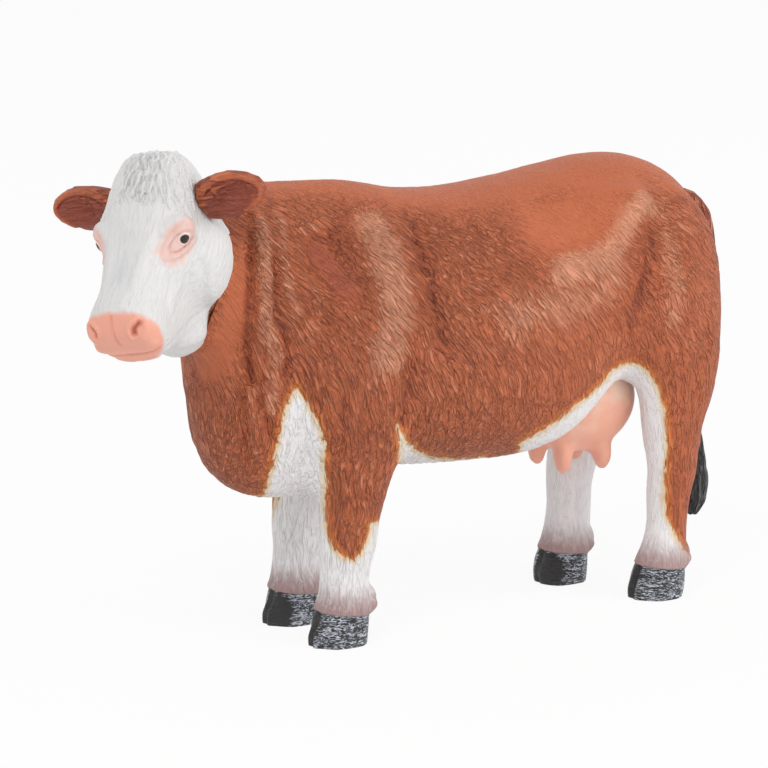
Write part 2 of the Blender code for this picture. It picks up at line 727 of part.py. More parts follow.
def clear_scene():
    for obj in list(bpy.data.objects):
        bpy.data.objects.remove(obj)


def main():
    clear_scene()
    body = body_form()
    head = head_form()
    tail = tail_form()
    body_room = grown(body)
    head_room = grown(head)
    sockets = [head_room, grown(tail)]
    pieces = []

    for name, side, rows, seam in LEGS:
        peg, socket = leg_peg(rows, side, seam)
        top = seam * WITHERS_HEIGHT
        shape = kept(body, leg_room(name, side, 0, top - FIT_GAP))
        pieces.append(piece(name, added(shape, peg), WHITE))
        sockets += [leg_room(name, side, -BEYOND, top), socket]

    neck_line = Vector((HEAD_PEG_SHARES[0] * BODY_LENGTH, 0, HEAD_PEG_SHARES[1] * WITHERS_HEIGHT))
    head_peg, socket = peg_and_socket(neck_line, X_WAY, HEAD_PEG_LENGTH, HEAD_PEG_RADIUS)
    sockets.append(socket)
    head = added(head, head_peg)
    for side in (LEFT, RIGHT):
        root, out, _, _ = ear_frame(side)
        ear = cut(ear_form(side), head_room)
        start = root + out * EAR_PEG_SHARE * EAR_LENGTH
        peg, socket = peg_and_socket(start, -out, EAR_PEG_LENGTH, EAR_PEG_RADIUS)
        head = cut(head, socket)
        pieces.append(piece(SIDE_NAMES[side] + "_ear", added(largest_body(ear), peg), RED_BROWN))
    pieces.append(piece("head", head, WHITE))

    udder_line = Vector((UDDER_CENTRE_SHARES[0] * BODY_LENGTH, 0, UDDER_CENTRE_SHARES[1] * WITHERS_HEIGHT))
    udder_peg, socket = peg_and_socket(udder_line, Z_WAY, UDDER_PEG_LENGTH, UDDER_PEG_RADIUS)
    sockets.append(socket)
    udder = largest_body(cut(udder_form(), body_room))
    pieces.append(piece("udder", added(udder, udder_peg), PINK))

    tail_start = Vector((TAIL_SHARES[2][0] * BODY_LENGTH, 0, TAIL_SHARES[2][1] * WITHERS_HEIGHT))
    tail_peg, socket = peg_and_socket(tail_start, -X_WAY, TAIL_PEG_LENGTH, TAIL_PEG_RADIUS)
    sockets.append(socket)
    pieces.append(piece("tail", added(tail, tail_peg), RED_BROWN))

    shell = cut(body, trunk(WALL, HOLLOW_SHARES), *sockets)
    for side in (LEFT, RIGHT):
        low_y, high_y = sorted((side * FIT_GAP / 2, side * BEYOND))
        half = kept(shell, box((-BEYOND, low_y, -BEYOND), (BEYOND, high_y, BEYOND)))
        for along, height in DOWEL_SHARES:
            start = Vector((along * BODY_LENGTH, LEFT * FIT_GAP / 2, height * WITHERS_HEIGHT))
            dowel, socket = peg_and_socket(start, Y_WAY, DOWEL_LENGTH, DOWEL_RADIUS)
            half = added(half, dowel) if side == LEFT else cut(half, socket)
        pieces.append(piece(f"body_{SIDE_NAMES[side]}_half", half, RED_BROWN))
    set_on_origin(pieces)


main()
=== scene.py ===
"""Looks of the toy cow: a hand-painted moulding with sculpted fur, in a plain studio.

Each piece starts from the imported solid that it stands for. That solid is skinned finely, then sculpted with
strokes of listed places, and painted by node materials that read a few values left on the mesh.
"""

import math

import bmesh
import bpy
import numpy as np
from bpy.props import FloatProperty, FloatVectorProperty, IntProperty, PointerProperty
from mathutils import Matrix, Vector, noise
from mathutils.bvhtree import BVHTree


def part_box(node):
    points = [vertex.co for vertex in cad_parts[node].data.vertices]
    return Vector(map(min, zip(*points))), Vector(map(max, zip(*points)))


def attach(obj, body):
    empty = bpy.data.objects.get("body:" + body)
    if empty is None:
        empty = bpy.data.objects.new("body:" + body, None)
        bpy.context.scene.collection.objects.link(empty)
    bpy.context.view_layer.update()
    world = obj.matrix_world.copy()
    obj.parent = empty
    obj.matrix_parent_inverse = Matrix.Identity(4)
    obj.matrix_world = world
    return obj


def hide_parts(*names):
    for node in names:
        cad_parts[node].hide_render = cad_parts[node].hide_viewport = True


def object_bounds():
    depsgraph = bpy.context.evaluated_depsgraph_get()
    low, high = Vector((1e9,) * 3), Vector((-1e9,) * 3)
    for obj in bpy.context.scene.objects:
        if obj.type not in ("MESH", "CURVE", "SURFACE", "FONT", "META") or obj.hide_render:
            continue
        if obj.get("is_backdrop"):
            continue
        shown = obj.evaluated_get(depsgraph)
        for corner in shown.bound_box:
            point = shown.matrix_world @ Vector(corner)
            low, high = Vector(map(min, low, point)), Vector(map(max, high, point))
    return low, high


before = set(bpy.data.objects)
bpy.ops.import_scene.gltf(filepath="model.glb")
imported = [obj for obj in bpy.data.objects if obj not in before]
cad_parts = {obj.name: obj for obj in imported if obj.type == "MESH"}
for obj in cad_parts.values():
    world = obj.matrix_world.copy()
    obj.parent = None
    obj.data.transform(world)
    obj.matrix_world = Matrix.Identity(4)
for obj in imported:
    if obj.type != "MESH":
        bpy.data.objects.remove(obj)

bl_info = {
    "name": "Toy cow",
    "version": (1, 0, 0),
    "blender": (4, 5, 0),
    "location": "3D View > Sidebar > Toy cow",
    "description": "Builds the painted skin of a toy cow round its packed solids",
    "category": "Object",
}

LEFT, RIGHT = -1, 1
BACKWARD = (1, 0, 0)
MM = 0.001

# The whole figure's box, and the plane down her middle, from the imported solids
LOW, HIGH = (np.array(corner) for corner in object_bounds())
LENGTH = HIGH[0] - LOW[0]
HEIGHT = HIGH[2] - LOW[2]
SEAM_GAP = 0.0003
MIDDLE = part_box("body_right_half")[0].y - SEAM_GAP / 2

# Seams of the mouldings: above the fore legs, above the hind legs, and the place between the two pairs, in
# the body and lower down, where only the legs are
LEG_PEG = 0.0060
FORE_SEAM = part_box("body_left_half")[0].z
HIND_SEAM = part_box("rear_left_leg")[1].z - LEG_PEG
BETWEEN_LEGS_SHARE = 0.758
UNDER_BELLY_SHARE = 0.5

BODY_NODES = ("body_left_half", "body_right_half")
LEG_NODES = ("front_left_leg", "front_right_leg", "rear_left_leg", "rear_right_leg")

# The head: its poll in shares of the figure's box, its turn to her left, nod and tip in degrees, and its
# size. The body's skin ends under it, at a plane this far from the origin along her heading.
POLL_SHARES = (0.1169, 0.4326, 1.0024)
HEAD_TURN = 33.0
HEAD_NOD = 51.5
HEAD_TIP = 9.2
HEAD_LENGTH = 0.0340
HEAD_WIDTH = 0.0190
HEAD_DEPTH = 0.0210
NECK_CUT = 0.0445
TURN = math.radians(HEAD_TURN)
HEADING = Vector((-math.cos(TURN), -math.sin(TURN), 0))

# How deep the body's skin is sunk under the head's own piece, and how near the head it has to be
UNDER_HEAD_SUNK = 0.5 * MM
UNDER_HEAD_REACH = 0.40 * MM

# Each skin: how far it stands off its solids, and its rounds of smoothing
SKINS = {
    "body": (0.3 * MM, 3), "head": (0.15 * MM, 3), "ear": (0.1 * MM, 2), "udder": (0.2 * MM, 4),
    "tail": (0.2 * MM, 3),
}
WELD = 0.001 * MM

# The ears: their root on the head, how far they are raised in degrees, and their size
EAR_ROOT_SHARES = (0.20, 0.30, 0.34)
EAR_RAISE = 6.0
EAR_LENGTH = 0.0160
EAR_WIDTH = 0.0086

# Muscles and folds on each side of the body: how far they stand out in mm, the painted highlight on them,
# or painted shade in a hollow or crease where it is below zero, how wide they are in mm, whether they are
# sharp, and their path in shares of the figure's length and height.
# The broad ones, with no height here, are already in the imported solids.
FORMS = (
    (0.50, 1.6, 2.7, False, ((0.248, 0.860), (0.244, 0.735), (0.249, 0.656), (0.263, 0.610), (0.261, 0.500))),
    (-0.85, -1.4, 1.7, True,
     ((0.239, 0.873), (0.227, 0.794), (0.222, 0.719), (0.226, 0.628), (0.236, 0.556))),
    (-0.80, -1.0, 2.2, True, ((0.262, 0.785), (0.260, 0.693), (0.278, 0.622), (0.277, 0.562))),
    (0.45, 1.1, 2.2, False, ((0.280, 0.860), (0.276, 0.770), (0.292, 0.690))),
    (-0.40, -0.5, 1.6, True, ((0.222, 0.557), (0.229, 0.475), (0.241, 0.391))),
    (0.40, 0.4, 1.8, False, ((0.236, 0.540), (0.245, 0.455), (0.256, 0.400))),
    (-0.50, -0.6, 1.6, True, ((0.245, 0.515), (0.265, 0.448), (0.274, 0.409))),
    (0.00, -1.2, 8.0, False, ((0.331, 0.792), (0.347, 0.755), (0.362, 0.715))),
    (0.30, 1.0, 2.4, False, ((0.345, 0.850), (0.306, 0.820), (0.308, 0.760), (0.334, 0.700), (0.370, 0.672))),
    (0.00, 2.2, 6.0, False, ((0.412, 0.835), (0.418, 0.750), (0.424, 0.670), (0.408, 0.590))),
    (0.00, -0.8, 3.2, False, ((0.474, 0.815), (0.479, 0.724), (0.487, 0.651), (0.497, 0.590))),
    (-0.35, -0.4, 1.6, True, ((0.470, 0.800), (0.478, 0.724), (0.485, 0.651), (0.495, 0.597))),
    (-0.50, -0.7, 2.6, False, ((0.446, 0.560), (0.441, 0.490), (0.433, 0.440))),
    (0.00, 1.3, 8.0, False, ((0.600, 0.640), (0.680, 0.660), (0.740, 0.690))),
    (0.00, 1.8, 4.2, False, ((0.800, 0.835), (0.781, 0.800), (0.762, 0.762), (0.728, 0.739), (0.670, 0.725))),
    (0.00, 1.0, 3.6, False, ((0.815, 0.835), (0.845, 0.760), (0.850, 0.680), (0.840, 0.600))),
    (0.00, -1.0, 3.0, False, ((0.828, 0.785), (0.815, 0.716), (0.799, 0.652), (0.779, 0.600))),
    (-0.30, -0.4, 1.6, True, ((0.826, 0.770), (0.813, 0.710), (0.797, 0.650))),
    (0.00, 0.6, 3.4, False, ((0.815, 0.845), (0.854, 0.812), (0.885, 0.770))),
    (0.35, 0.3, 2.8, False, ((0.783, 0.620), (0.748, 0.560), (0.708, 0.505), (0.672, 0.455))),
    (-0.35, -0.4, 2.4, False, ((0.905, 0.560), (0.890, 0.480), (0.893, 0.420))),
)

# Places with little fur: how wide they are in mm, and their path in shares of the figure's length and height
SMOOTH_HOLLOWS = (
    (9.0, ((0.665, 0.800), (0.715, 0.805), (0.755, 0.830))),
    (3.5, ((0.331, 0.792), (0.347, 0.755), (0.362, 0.715))),
    (5.0, ((0.205, 0.780), (0.200, 0.680), (0.190, 0.580))),
)

# Hair runs straight down at this share of the height, and leans back more the higher it grows. Its strands
# sway by this much, and are this wide and this long.
DOWNWARD_SHARE = 0.40
LEAN = 0.0155
HAIR_SWAY = 3.5 * MM
HAIR_STRAND = (0.62 * MM, 3.6 * MM)

# Waves of the sculpted fur: how wide and how long they are, where their noise starts, and their share of the
# depth
FUR_WAVES = ((1.1 * MM, 7 * MM, 0, 1), (0.7 * MM, 4 * MM, 50, 0.5))
TAIL_WAVES = (0.9 * MM, 7 * MM, 20)

# Where fur gets shallow: by how far the surface faces up, by the share of a hollow's width, by the distance
# below the coronet, and by the share of the length. The first two take away SMOOTHED_SHARE of it.
BACK_FACING = (0.55, 0.92)
HOLLOW_EDGE_SHARES = (0.2, 1.2)
CORONET_EDGE = (-0.6 * MM, 0.2 * MM)
REAR_SHARES = (0.50, 0.72)
SMOOTHED_SHARE = 0.8
FORE_FUR = 1.1
REAR_FUR_LESS = 0.4

# Paint borders as seen from the front left quarter, in shares of the figure's length across and up that view
CHEST_PATCH_SHARES = (
    (-0.138, 0.311), (-0.128, 0.298), (-0.117, 0.280), (-0.107, 0.259), (-0.101, 0.237), (-0.104, 0.215),
    (-0.100, 0.189), (-0.104, 0.150), (-0.099, 0.124), (-0.091, 0.103), (-0.079, 0.092), (-0.066, 0.089),
    (-0.056, 0.097), (-0.050, 0.114), (-0.043, 0.137), (-0.016, 0.136), (-0.016, -0.034), (-0.224, -0.025),
    (-0.222, 0.168), (-0.182, 0.171), (-0.175, 0.195), (-0.167, 0.221), (-0.160, 0.251), (-0.155, 0.280),
    (-0.147, 0.298),
)
BELLY_PATCH_SHARES = (
    (-0.009, 0.264), (-0.004, 0.254), (0.002, 0.243), (0.017, 0.230), (0.037, 0.221), (0.061, 0.217),
    (0.084, 0.216), (0.108, 0.219), (0.127, 0.202), (-0.006, 0.192),
)
FLANK_PATCH_SHARES = (
    (0.153, 0.238), (0.166, 0.246), (0.186, 0.258), (0.206, 0.272), (0.226, 0.287), (0.246, 0.302),
    (0.264, 0.320), (0.276, 0.333), (0.290, 0.342), (0.308, 0.345), (0.323, 0.337), (0.336, 0.321),
    (0.346, 0.301), (0.352, 0.278), (0.356, 0.240), (0.355, 0.199), (0.355, 0.158), (0.358, 0.134),
    (0.367, 0.117), (0.375, 0.103), (0.383, 0.089), (0.415, 0.074), (0.417, -0.038), (0.156, -0.028),
)

# White inside the legs: up to this share of the height, lower by this slope beside the middle, and where the
# surface faces inward by this much. White under the belly: where it faces down by this much, this wide, and
# behind this share of the length. In front of that, white ends this far above the fore legs' seam. The
# greater the softness is, the softer are the borders that follow the facing.
INNER_WHITE_SHARE = 0.46
INNER_BOW = 0.7
INWARD = 0.25
DOWNWARD = 0.5
UNDER_WIDTH = 0.0075
BRISKET_SHARE = 0.42
BRISKET_RISE = 0.2 * MM
FACING_SOFTNESS = 10

# Where paints set in, in mm from their borders, or from the middle of the eye for its rim and the pupil: none
# at the first value and full at the second
FRINGE_EDGE = (-1.3, -0.3)
CREAM_EDGE = (1.3, 0.3)
WHITE_EDGE = (-0.25, 0.3)
MAUVE_EDGE = (-6.5, 0.0)
HORN_EDGE = (-0.1, 0.15)
PINK_EDGE = (0.0, 1.2)
EYE_RIM_EDGE = (1.35, 1.05)
PUPIL_EDGE = (0.95, 0.82)

# Fine strands and streaks in the paint, as noise scales along three axes
FACE_STRANDS = (1500.0, 1500.0, 320.0)
EAR_STRANDS = (1300.0, 1300.0, 240.0)
TAIL_STRANDS = (1400.0, 1400.0, 180.0)
HOOF_STREAKS = (650.0, 650.0, 2800.0)

# Hooves and fetlocks: where the sole and the coronet are, the step in the surface there, the clefts, the flap
# and the dewclaws behind, how far heel and toe are moved, the dark inner claw, how much paler the paint is on
# the claw, how much painted shade goes in the clefts, how much paler the paint is on the dewclaws, over which
# depth the step rises, and how many lengths of a sole its hoof reaches from its middle
SOLE = 0.1 * MM
CORONET = 0.0060
CORONET_SLOPE = 0.10
HOOF_STEP = 0.00045
CLEFT_RADIUS = 0.0016
CLEFT_DEPTH = 0.0007
HEEL_CLEFT_DEPTH = 0.0003
FLAP_HEIGHT = 0.0078
FLAP_RADIUS = 0.0034
FLAP_PROUD = 0.0013
DEWCLAW_SHARE = 0.24
DEWCLAW_HEIGHT = 0.0068
DEWCLAW_RADIUS = 0.0017
DEWCLAW_PROUD = 0.0007
HEEL_SUNK = 0.0010
TOE_PROUD = 0.0007
CLAW_ASIDE = 0.0030
CLAW_RADIUS = 0.0042
CLAW_TONE = -1.5
CLEFT_SHADE = -1.5
DEWCLAW_TONE = -0.5
STEP_EDGE = (-0.2 * MM, 0.4 * MM)
NEAR_HOOF = 1.5

# The lowest part of the hooves is pulled down to a flat sole: how high it reaches, and by how much in mm
FLAT_REACH = 1.6 * MM
FLAT_PULL = 0.7

# Strokes on each side of the face: height in mm, painted highlight, or painted shade below zero, width in mm,
# whether sharp, and the path in shares along the head, out to the side and down from the brow
FACE_FORMS = (
    (0.35, 0.0, 1.5, False, ((0.46, 0.33, 0.07), (0.40, 0.40, 0.07), (0.37, 0.46, 0.14), (0.41, 0.50, 0.24))),
    (-0.30, -0.3, 2.2, False, ((0.56, 0.33, 0.16), (0.66, 0.32, 0.22))),
    (0.25, 0.0, 1.6, False, ((0.50, 0.24, 0.00), (0.64, 0.20, 0.00), (0.78, 0.18, 0.00))),
    (-0.15, -0.3, 2.4, False, ((0.50, 0.05, 0.00), (0.72, 0.05, 0.00))),
    (0.30, 0.0, 1.8, False, ((0.58, 0.42, 0.32), (0.68, 0.38, 0.38), (0.78, 0.34, 0.40))),
    (-0.25, -0.2, 1.6, False, ((0.50, 0.48, 0.46), (0.60, 0.44, 0.62), (0.62, 0.38, 0.80))),
    (-0.40, -0.5, 1.0, True,
     ((0.97, 0.28, 0.48), (0.87, 0.27, 0.60), (0.76, 0.28, 0.74), (0.62, 0.35, 0.84))),
    (0.25, 0.0, 2.6, False, ((0.46, 0.42, 1.00), (0.56, 0.38, 1.02), (0.64, 0.32, 1.04))),
    (0.45, 0.0, 2.2, False, ((0.74, 0.20, 0.96), (0.84, 0.18, 0.86))),
    (-0.45, -0.5, 0.6, True,
     ((0.95, 0.31, 0.44), (1.00, 0.27, 0.41), (1.03, 0.15, 0.41), (1.03, 0.00, 0.41))),
    (0.35, 0.0, 1.5, False, ((1.00, 0.26, 0.32), (1.03, 0.16, 0.32), (1.03, 0.04, 0.31))),
    (0.30, 0.0, 1.5, False, ((1.00, 0.18, 0.52), (1.02, 0.05, 0.52))),
    (-0.30, -0.3, 0.5, True, ((0.95, 0.00, 0.02), (0.98, 0.00, 0.06), (1.01, 0.00, 0.12), (1.03, 0.0, 0.24))),
    (-0.90, -0.9, 0.75, False, ((0.966, 0.250, 0.11), (0.990, 0.205, 0.12), (1.012, 0.195, 0.15))),
    (0.40, 0.3, 0.75, False,
     ((0.945, 0.225, 0.08), (0.975, 0.160, 0.10), (1.000, 0.145, 0.12), (1.02, 0.17, 0.17))),
    (0.30, 0.1, 0.90, False, ((0.950, 0.290, 0.12), (0.980, 0.290, 0.17), (1.010, 0.250, 0.20))),
)

# The eye on the head, and round it, in mm along the face and across it: the slit between the lids, and the
# border of the pink paint
EYE_SHARES = (0.455, 0.441, 0.212)
EYE_ACROSS = (0.6, 0.8)
EYE_SLIT = (
    (-1.5, -0.4), (-1.3, 0.8), (-0.5, 1.6), (0.9, 1.3), (2.2, 0.5), (3.0, -0.8), (3.3, -1.6), (2.2, -1.9),
    (1.2, -1.8), (-0.6, -1.1),
)
EYE_PINK = (
    (-0.5, -3.3), (-3.1, -1.3), (-3.1, 0.2), (-2.2, 1.4), (-1.0, 2.6), (0.9, 2.3), (3.6, 1.1), (5.1, -0.7),
    (4.8, -3.1), (3.8, -4.3),
)

# Where the pink muzzle starts, as pairs of how far down the head and how far along it. The pink round the eye
# gets this deep in mm, and fades over its border by this factor.
MUZZLE_SHARES = ((0.10, 0.922), (0.25, 0.930), (0.45, 0.990), (0.66, 1.025), (0.90, 1.020))
EYE_PINK_DEEPEST = 0.25
EYE_PINK_FADE = 0.4

# The eyeball's height and width in mm. Then strokes round it: the slit, the lid and the fold outside it, each
# as a scale of the slit's outline, height in mm, width in mm, whether sharp, and painted highlight, or
# painted shade in the slit and the fold below zero
EYEBALL = (0.45, 1.5)
EYE_STROKES = (
    (1.0, -0.30, 0.40, True, -0.7), (1.35, 0.22, 0.65, False, 0.2), (1.75, -0.15, 0.45, True, -0.3),
)

# Forelocks: rows of locks, each with where it starts along the head, how long its locks are, and how far the
# row reaches to both sides. Then the width and height of a lock, how far it sways and spreads, its bends and
# steps, how far locks are strewn across and along, how the brow falls away to the sides, and for a lock the
# painted highlight and for the groove beside it the painted shade, and how much thinner each gets.
LOCK_ROWS = (
    (-0.10, 0.13, 0.42), (-0.01, 0.12, 0.48), (0.07, 0.12, 0.50), (0.14, 0.13, 0.50), (0.20, 0.12, 0.47),
)
LOCK_WIDTH = 0.00055
LOCK_PROUD = 0.00035
LOCK_SWAY = 0.014
LOCK_FAN = 0.22
LOCK_BENDS = 5
LOCK_STEPS = 5
LOCK_STREWN_ACROSS = 0.2
LOCK_STREWN_ALONG = 0.02
LOCK_SEED = 7
BROW_TOP = -0.1
BROW_FALL = 0.9
LOCK_HIGHLIGHT_AND_TAPER = (0.25, 0.75)
GROOVE_SHADE_AND_TAPER = (-0.6, 0.5)

# Strokes on the front of the ears: height in mm, painted highlight, or painted shade in the hollow below
# zero, width in mm, whether sharp, and the path in shares out along the ear and up across it
EAR_FORMS = (
    (-0.20, -1.2, 2.6, False, ((0.38, -0.16), (0.50, -0.15), (0.68, -0.12))),
    (-0.25, -0.3, 2.2, False, ((0.50, 0.08), (0.65, 0.08), (0.80, 0.00))),
    (0.35, 0.5, 0.9, False,
     ((0.30, 0.26), (0.45, 0.37), (0.62, 0.39), (0.80, 0.29), (0.94, 0.08), (0.95, -0.15), (0.86, -0.34),
      (0.72, -0.44))),
    (-0.30, -0.6, 0.5, True,
     ((0.30, 0.12), (0.42, 0.24), (0.60, 0.28), (0.78, 0.19), (0.90, 0.02), (0.90, -0.15), (0.82, -0.30))),
    (0.30, 0.2, 1.3, False, ((0.28, -0.38), (0.42, -0.44))),
)

# Udder: where its paint gets pale, in shares of the figure's height, how far that border wanders, where the
# teats get pinker below it, and by how many mm the top is raised where it faces up, to meet the belly
UDDER_PALE_SHARES = (0.36, 0.46)
UDDER_WANDER = 20 * MM
TEAT_START = 5 * MM
TEAT_FULL = 9 * MM
UDDER_TOP_FACING = (0.3, 0.7)
UDDER_RAISED = 1.2

# Tail: where its tuft starts, in shares of the figure's height, over how much of it the colours mix, and how
# deep the waves are above it
TUFT_SHARE = 0.335
TUFT_RAGGED = 0.0040
ABOVE_TUFT = 0.4

# Studio: each lamp's place from the middle of the figure and its size, the floor's reach in lengths of the
# figure and its cells, and the camera's film width in mm and nearest distance
LAMPS = {"key": ((-0.45, -0.35, 0.62), 0.25), "fill": ((0.55, -0.55, 0.25), 0.6)}
FLOOR_REACH = 10
FLOOR_CELLS = 8
FILM_WIDTH = 36
CLIP_START = 0.01


def a_length(name, description, default):
    return FloatProperty(name=name, description=description, default=default, unit="LENGTH", precision=5)


def a_colour(name, description, default):
    return FloatVectorProperty(name=name, description=description, default=default, subtype="COLOR", size=3)


class CowSizes(bpy.types.PropertyGroup):
    body_grain: a_length("Body grain", "Size of the body's coarse faces, before they are divided", 0.00145)
    head_grain: a_length("Head grain", "Size of the head's coarse faces, before they are divided", 0.0009)
    small_grain: a_length("Small grain", "Size of the coarse faces of the ears, udder and tail", 0.0007)
    divisions: IntProperty(name="Divisions", description="Times that each coarse face is divided", default=2)
    fur_relief: a_length("Fur relief", "Depth of the fur that is sculpted into the mesh", 0.00018)
    fur_bump: a_length("Fur bump", "Depth of the fine grooves that the material shades", 0.00110)
    face_bump: a_length("Face bump", "Depth of the short hair on the face", 0.00010)
    lock_count: IntProperty(name="Locks", description="Locks of hair in each row across the poll", default=20)


class CowColours(bpy.types.PropertyGroup):
    coat: a_colour("Coat", "Red-brown of the coat", (0.500, 0.120, 0.040))
    # Paler paint in random patches, and painted highlight on raised forms, strands and rims
    coat_pale_and_highlight: a_colour("Coat, raised", "Paler salmon brushed over what stands out", (0.680, 0.270, 0.150))
    # Darker paint in random patches, and painted shade in grooves, hollows, creases and between strands
    coat_dark_and_shade: a_colour("Coat, sunk", "Dark maroon in grooves and hollows", (0.250, 0.045, 0.020))
    fringe: a_colour("Fringe", "Orange where brown meets white", (0.700, 0.190, 0.035))
    # The face, belly and legs wear one white paint. The belly and legs' white is set lighter, painted light
    # against the shade under the body, and the face's white darker, painted shade against the stronger light
    # on the face
    white: a_colour("White", "White of the belly and legs", (0.860, 0.840, 0.845))
    face_white_darkened: a_colour("White, face", "White of the face", (0.700, 0.690, 0.680))
    # Painted shade in the grooves and hollows of the white hair, with random darker patches
    white_dark_and_shade: a_colour("White, sunk", "Grey-beige in the grooves of the white hair", (0.700, 0.620, 0.630))
    cream: a_colour("Cream", "Yellowish white beside the fringe", (0.800, 0.650, 0.450))
    mauve: a_colour("Mauve", "Tint of the fetlocks above the hooves", (0.400, 0.260, 0.250))
    hoof: a_colour("Hoof", "Dark grey of the hooves", (0.035, 0.033, 0.035))
    hoof_brushed: a_colour("Hoof, brushed", "Blue-grey brushed over the hooves", (0.720, 0.780, 0.880))
    pink: a_colour("Pink", "Pink of the muzzle and the eyelids", (0.810, 0.370, 0.270))
    udder: a_colour("Udder", "Pink of the udder", (0.850, 0.400, 0.280))
    cream_pink: a_colour("Udder, top", "Pale pink of the udder near the belly", (0.870, 0.590, 0.460))
    tuft: a_colour("Tail tuft", "Black of the tail's tuft", (0.022, 0.020, 0.020))
    # Painted shade in the nostrils and the folds of the lids, with random darker patches
    pink_dark_and_shade: a_colour(
        "Pink, sunk", "Darker pink in the nostrils and the folds of the lids", (0.480, 0.160, 0.110))
    # Pale paint of the eye's rim, and painted highlight on the raised pink of the lids and muzzle
    pink_pale_and_highlight: a_colour("Pink, pale", "Pale rim of the eye", (0.860, 0.620, 0.560))
    lavender: a_colour("Face, shaded", "Bluish grey in the folds of the white face", (0.520, 0.530, 0.580))
    tuft_brushed: a_colour("Tail tuft, brushed", "Grey on the strands of the tuft", (0.120, 0.115, 0.115))
    pupil: a_colour("Eye", "Dark brown of the eyes", (0.012, 0.007, 0.006))


class CowStage(bpy.types.PropertyGroup):
    floor: a_colour("Floor", "Colour of the floor", (0.90, 0.90, 0.90))
    floor_glow: FloatProperty(
        name="Floor whiteness", description="Share of pure white that the camera sees in the floor",
        default=0.90, subtype="FACTOR")
    sky: FloatProperty(name="Sky", description="Strength of the light from all round", default=0.72)
    key: FloatProperty(name="Key lamp", description="Power of the main lamp in watts", default=1.7)
    fill: FloatProperty(name="Fill lamp", description="Power of the second lamp in watts", default=2.6)
    camera_turn: FloatProperty(
        name="Camera turn", description="Degrees from the side view towards the head", default=30.0)
    camera_rise: FloatProperty(name="Camera rise", description="Degrees above the horizon", default=12.0)
    camera_distance: FloatProperty(
        name="Camera distance", description="From the camera to its target", default=0.70, unit="LENGTH")
    camera_lens: FloatProperty(name="Lens", description="Focal length in mm", default=178.1)
    target: FloatVectorProperty(
        name="Camera target", description="Place that the middle of the picture shows", size=3,
        subtype="TRANSLATION", default=(0.002452, 0.011478, 0.042))


def figure_place(share_x, y, share_z):
    """A place from its shares of the figure's length and height."""
    return np.array((LOW[0] + share_x * LENGTH, y, LOW[2] + share_z * HEIGHT))


def read(items, name, width, kind=float):
    """One value of all items, in rows of some width."""
    flat = np.empty(len(items) * width, dtype=kind)
    items.foreach_get(name, flat)
    return flat.reshape(-1, width)


def places_of(mesh):
    return read(mesh.vertices, "co", 3)


def ways_of(mesh):
    """The outward way at each vertex."""
    return read(mesh.vertex_normals, "vector", 3)


def move_to(mesh, places):
    mesh.vertices.foreach_set("co", places.ravel())
    mesh.update()


def leave(mesh, name, values):
    """Leaves one value at each vertex, for the materials to read."""
    attribute = mesh.attributes.new(name, "FLOAT", "POINT")
    attribute.data.foreach_set("value", np.asarray(values, dtype=np.float32))


def smoothly(values, start, end):
    """Rises from 0 at start to 1 at end."""
    share = np.clip((values - start) / (end - start), 0, 1)
    return share * share * (3 - 2 * share)


def helper(mesh):
    obj = bpy.data.objects.new("helper", mesh)
    bpy.context.scene.collection.objects.link(obj)
    return obj


def evaluated(obj):
    """The object's mesh with its modifiers applied; the object itself is removed."""
    graph = bpy.context.evaluated_depsgraph_get()
    mesh = bpy.data.meshes.new_from_object(obj.evaluated_get(graph))
    bpy.data.objects.remove(obj)
    return mesh


def largest_body(mesh):
    """The mesh without hollows inside it and loose crumbs."""
    edges = read(mesh.edges, "vertices", 2, np.int64)
    body = np.arange(len(mesh.vertices))
    while True:
        lower = np.minimum(body[edges[:, 0]], body[edges[:, 1]])
        before = body.copy()
        np.minimum.at(body, edges[:, 0], lower)
        np.minimum.at(body, edges[:, 1], lower)
        body = body[body]
        if np.array_equal(body, before):
            break
    names, counts = np.unique(body, return_counts=True)
    largest = names[np.argmax(counts)]
    form = bmesh.new()
    form.from_mesh(mesh)
    form.verts.ensure_lookup_table()
    crumbs = [form.verts[i] for i in np.flatnonzero(body != largest)]
    bmesh.ops.delete(form, geom=crumbs, context="VERTS")
    form.to_mesh(mesh)
    form.free()
    return mesh


def skin_of(nodes, kind, grain):
    """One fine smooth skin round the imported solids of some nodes."""
    stand_off, smoothing = SKINS[kind]
    form = bmesh.new()
    for node in nodes:
        form.from_mesh(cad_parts[node].data)
    bmesh.ops.remove_doubles(form, verts=form.verts, dist=WELD)
    joined = bpy.data.meshes.new("joined")
    form.to_mesh(joined)
    form.free()
    obj = helper(joined)
    offset = obj.modifiers.new("offset", "DISPLACE")
    offset.mid_level = 0
    offset.strength = stand_off
    skin = obj.modifiers.new("skin", "REMESH")
    skin.mode = "VOXEL"
    skin.voxel_size = grain
    obj = helper(largest_body(evaluated(obj)))
    smooth = obj.modifiers.new("smooth", "SMOOTH")
    smooth.iterations = smoothing
    divisions = bpy.context.scene.cow_sizes.divisions
    finer = obj.modifiers.new("finer", "SUBSURF")
    finer.levels = divisions
    finer.render_levels = divisions
    mesh = evaluated(obj)
    mesh.materials.clear()
    return mesh


def tree_of(mesh):
    """A tree of the mesh's faces, to drop places onto its surface."""
    corners = [tuple(face.vertices) for face in mesh.polygons]
    return BVHTree.FromPolygons(places_of(mesh).tolist(), corners)


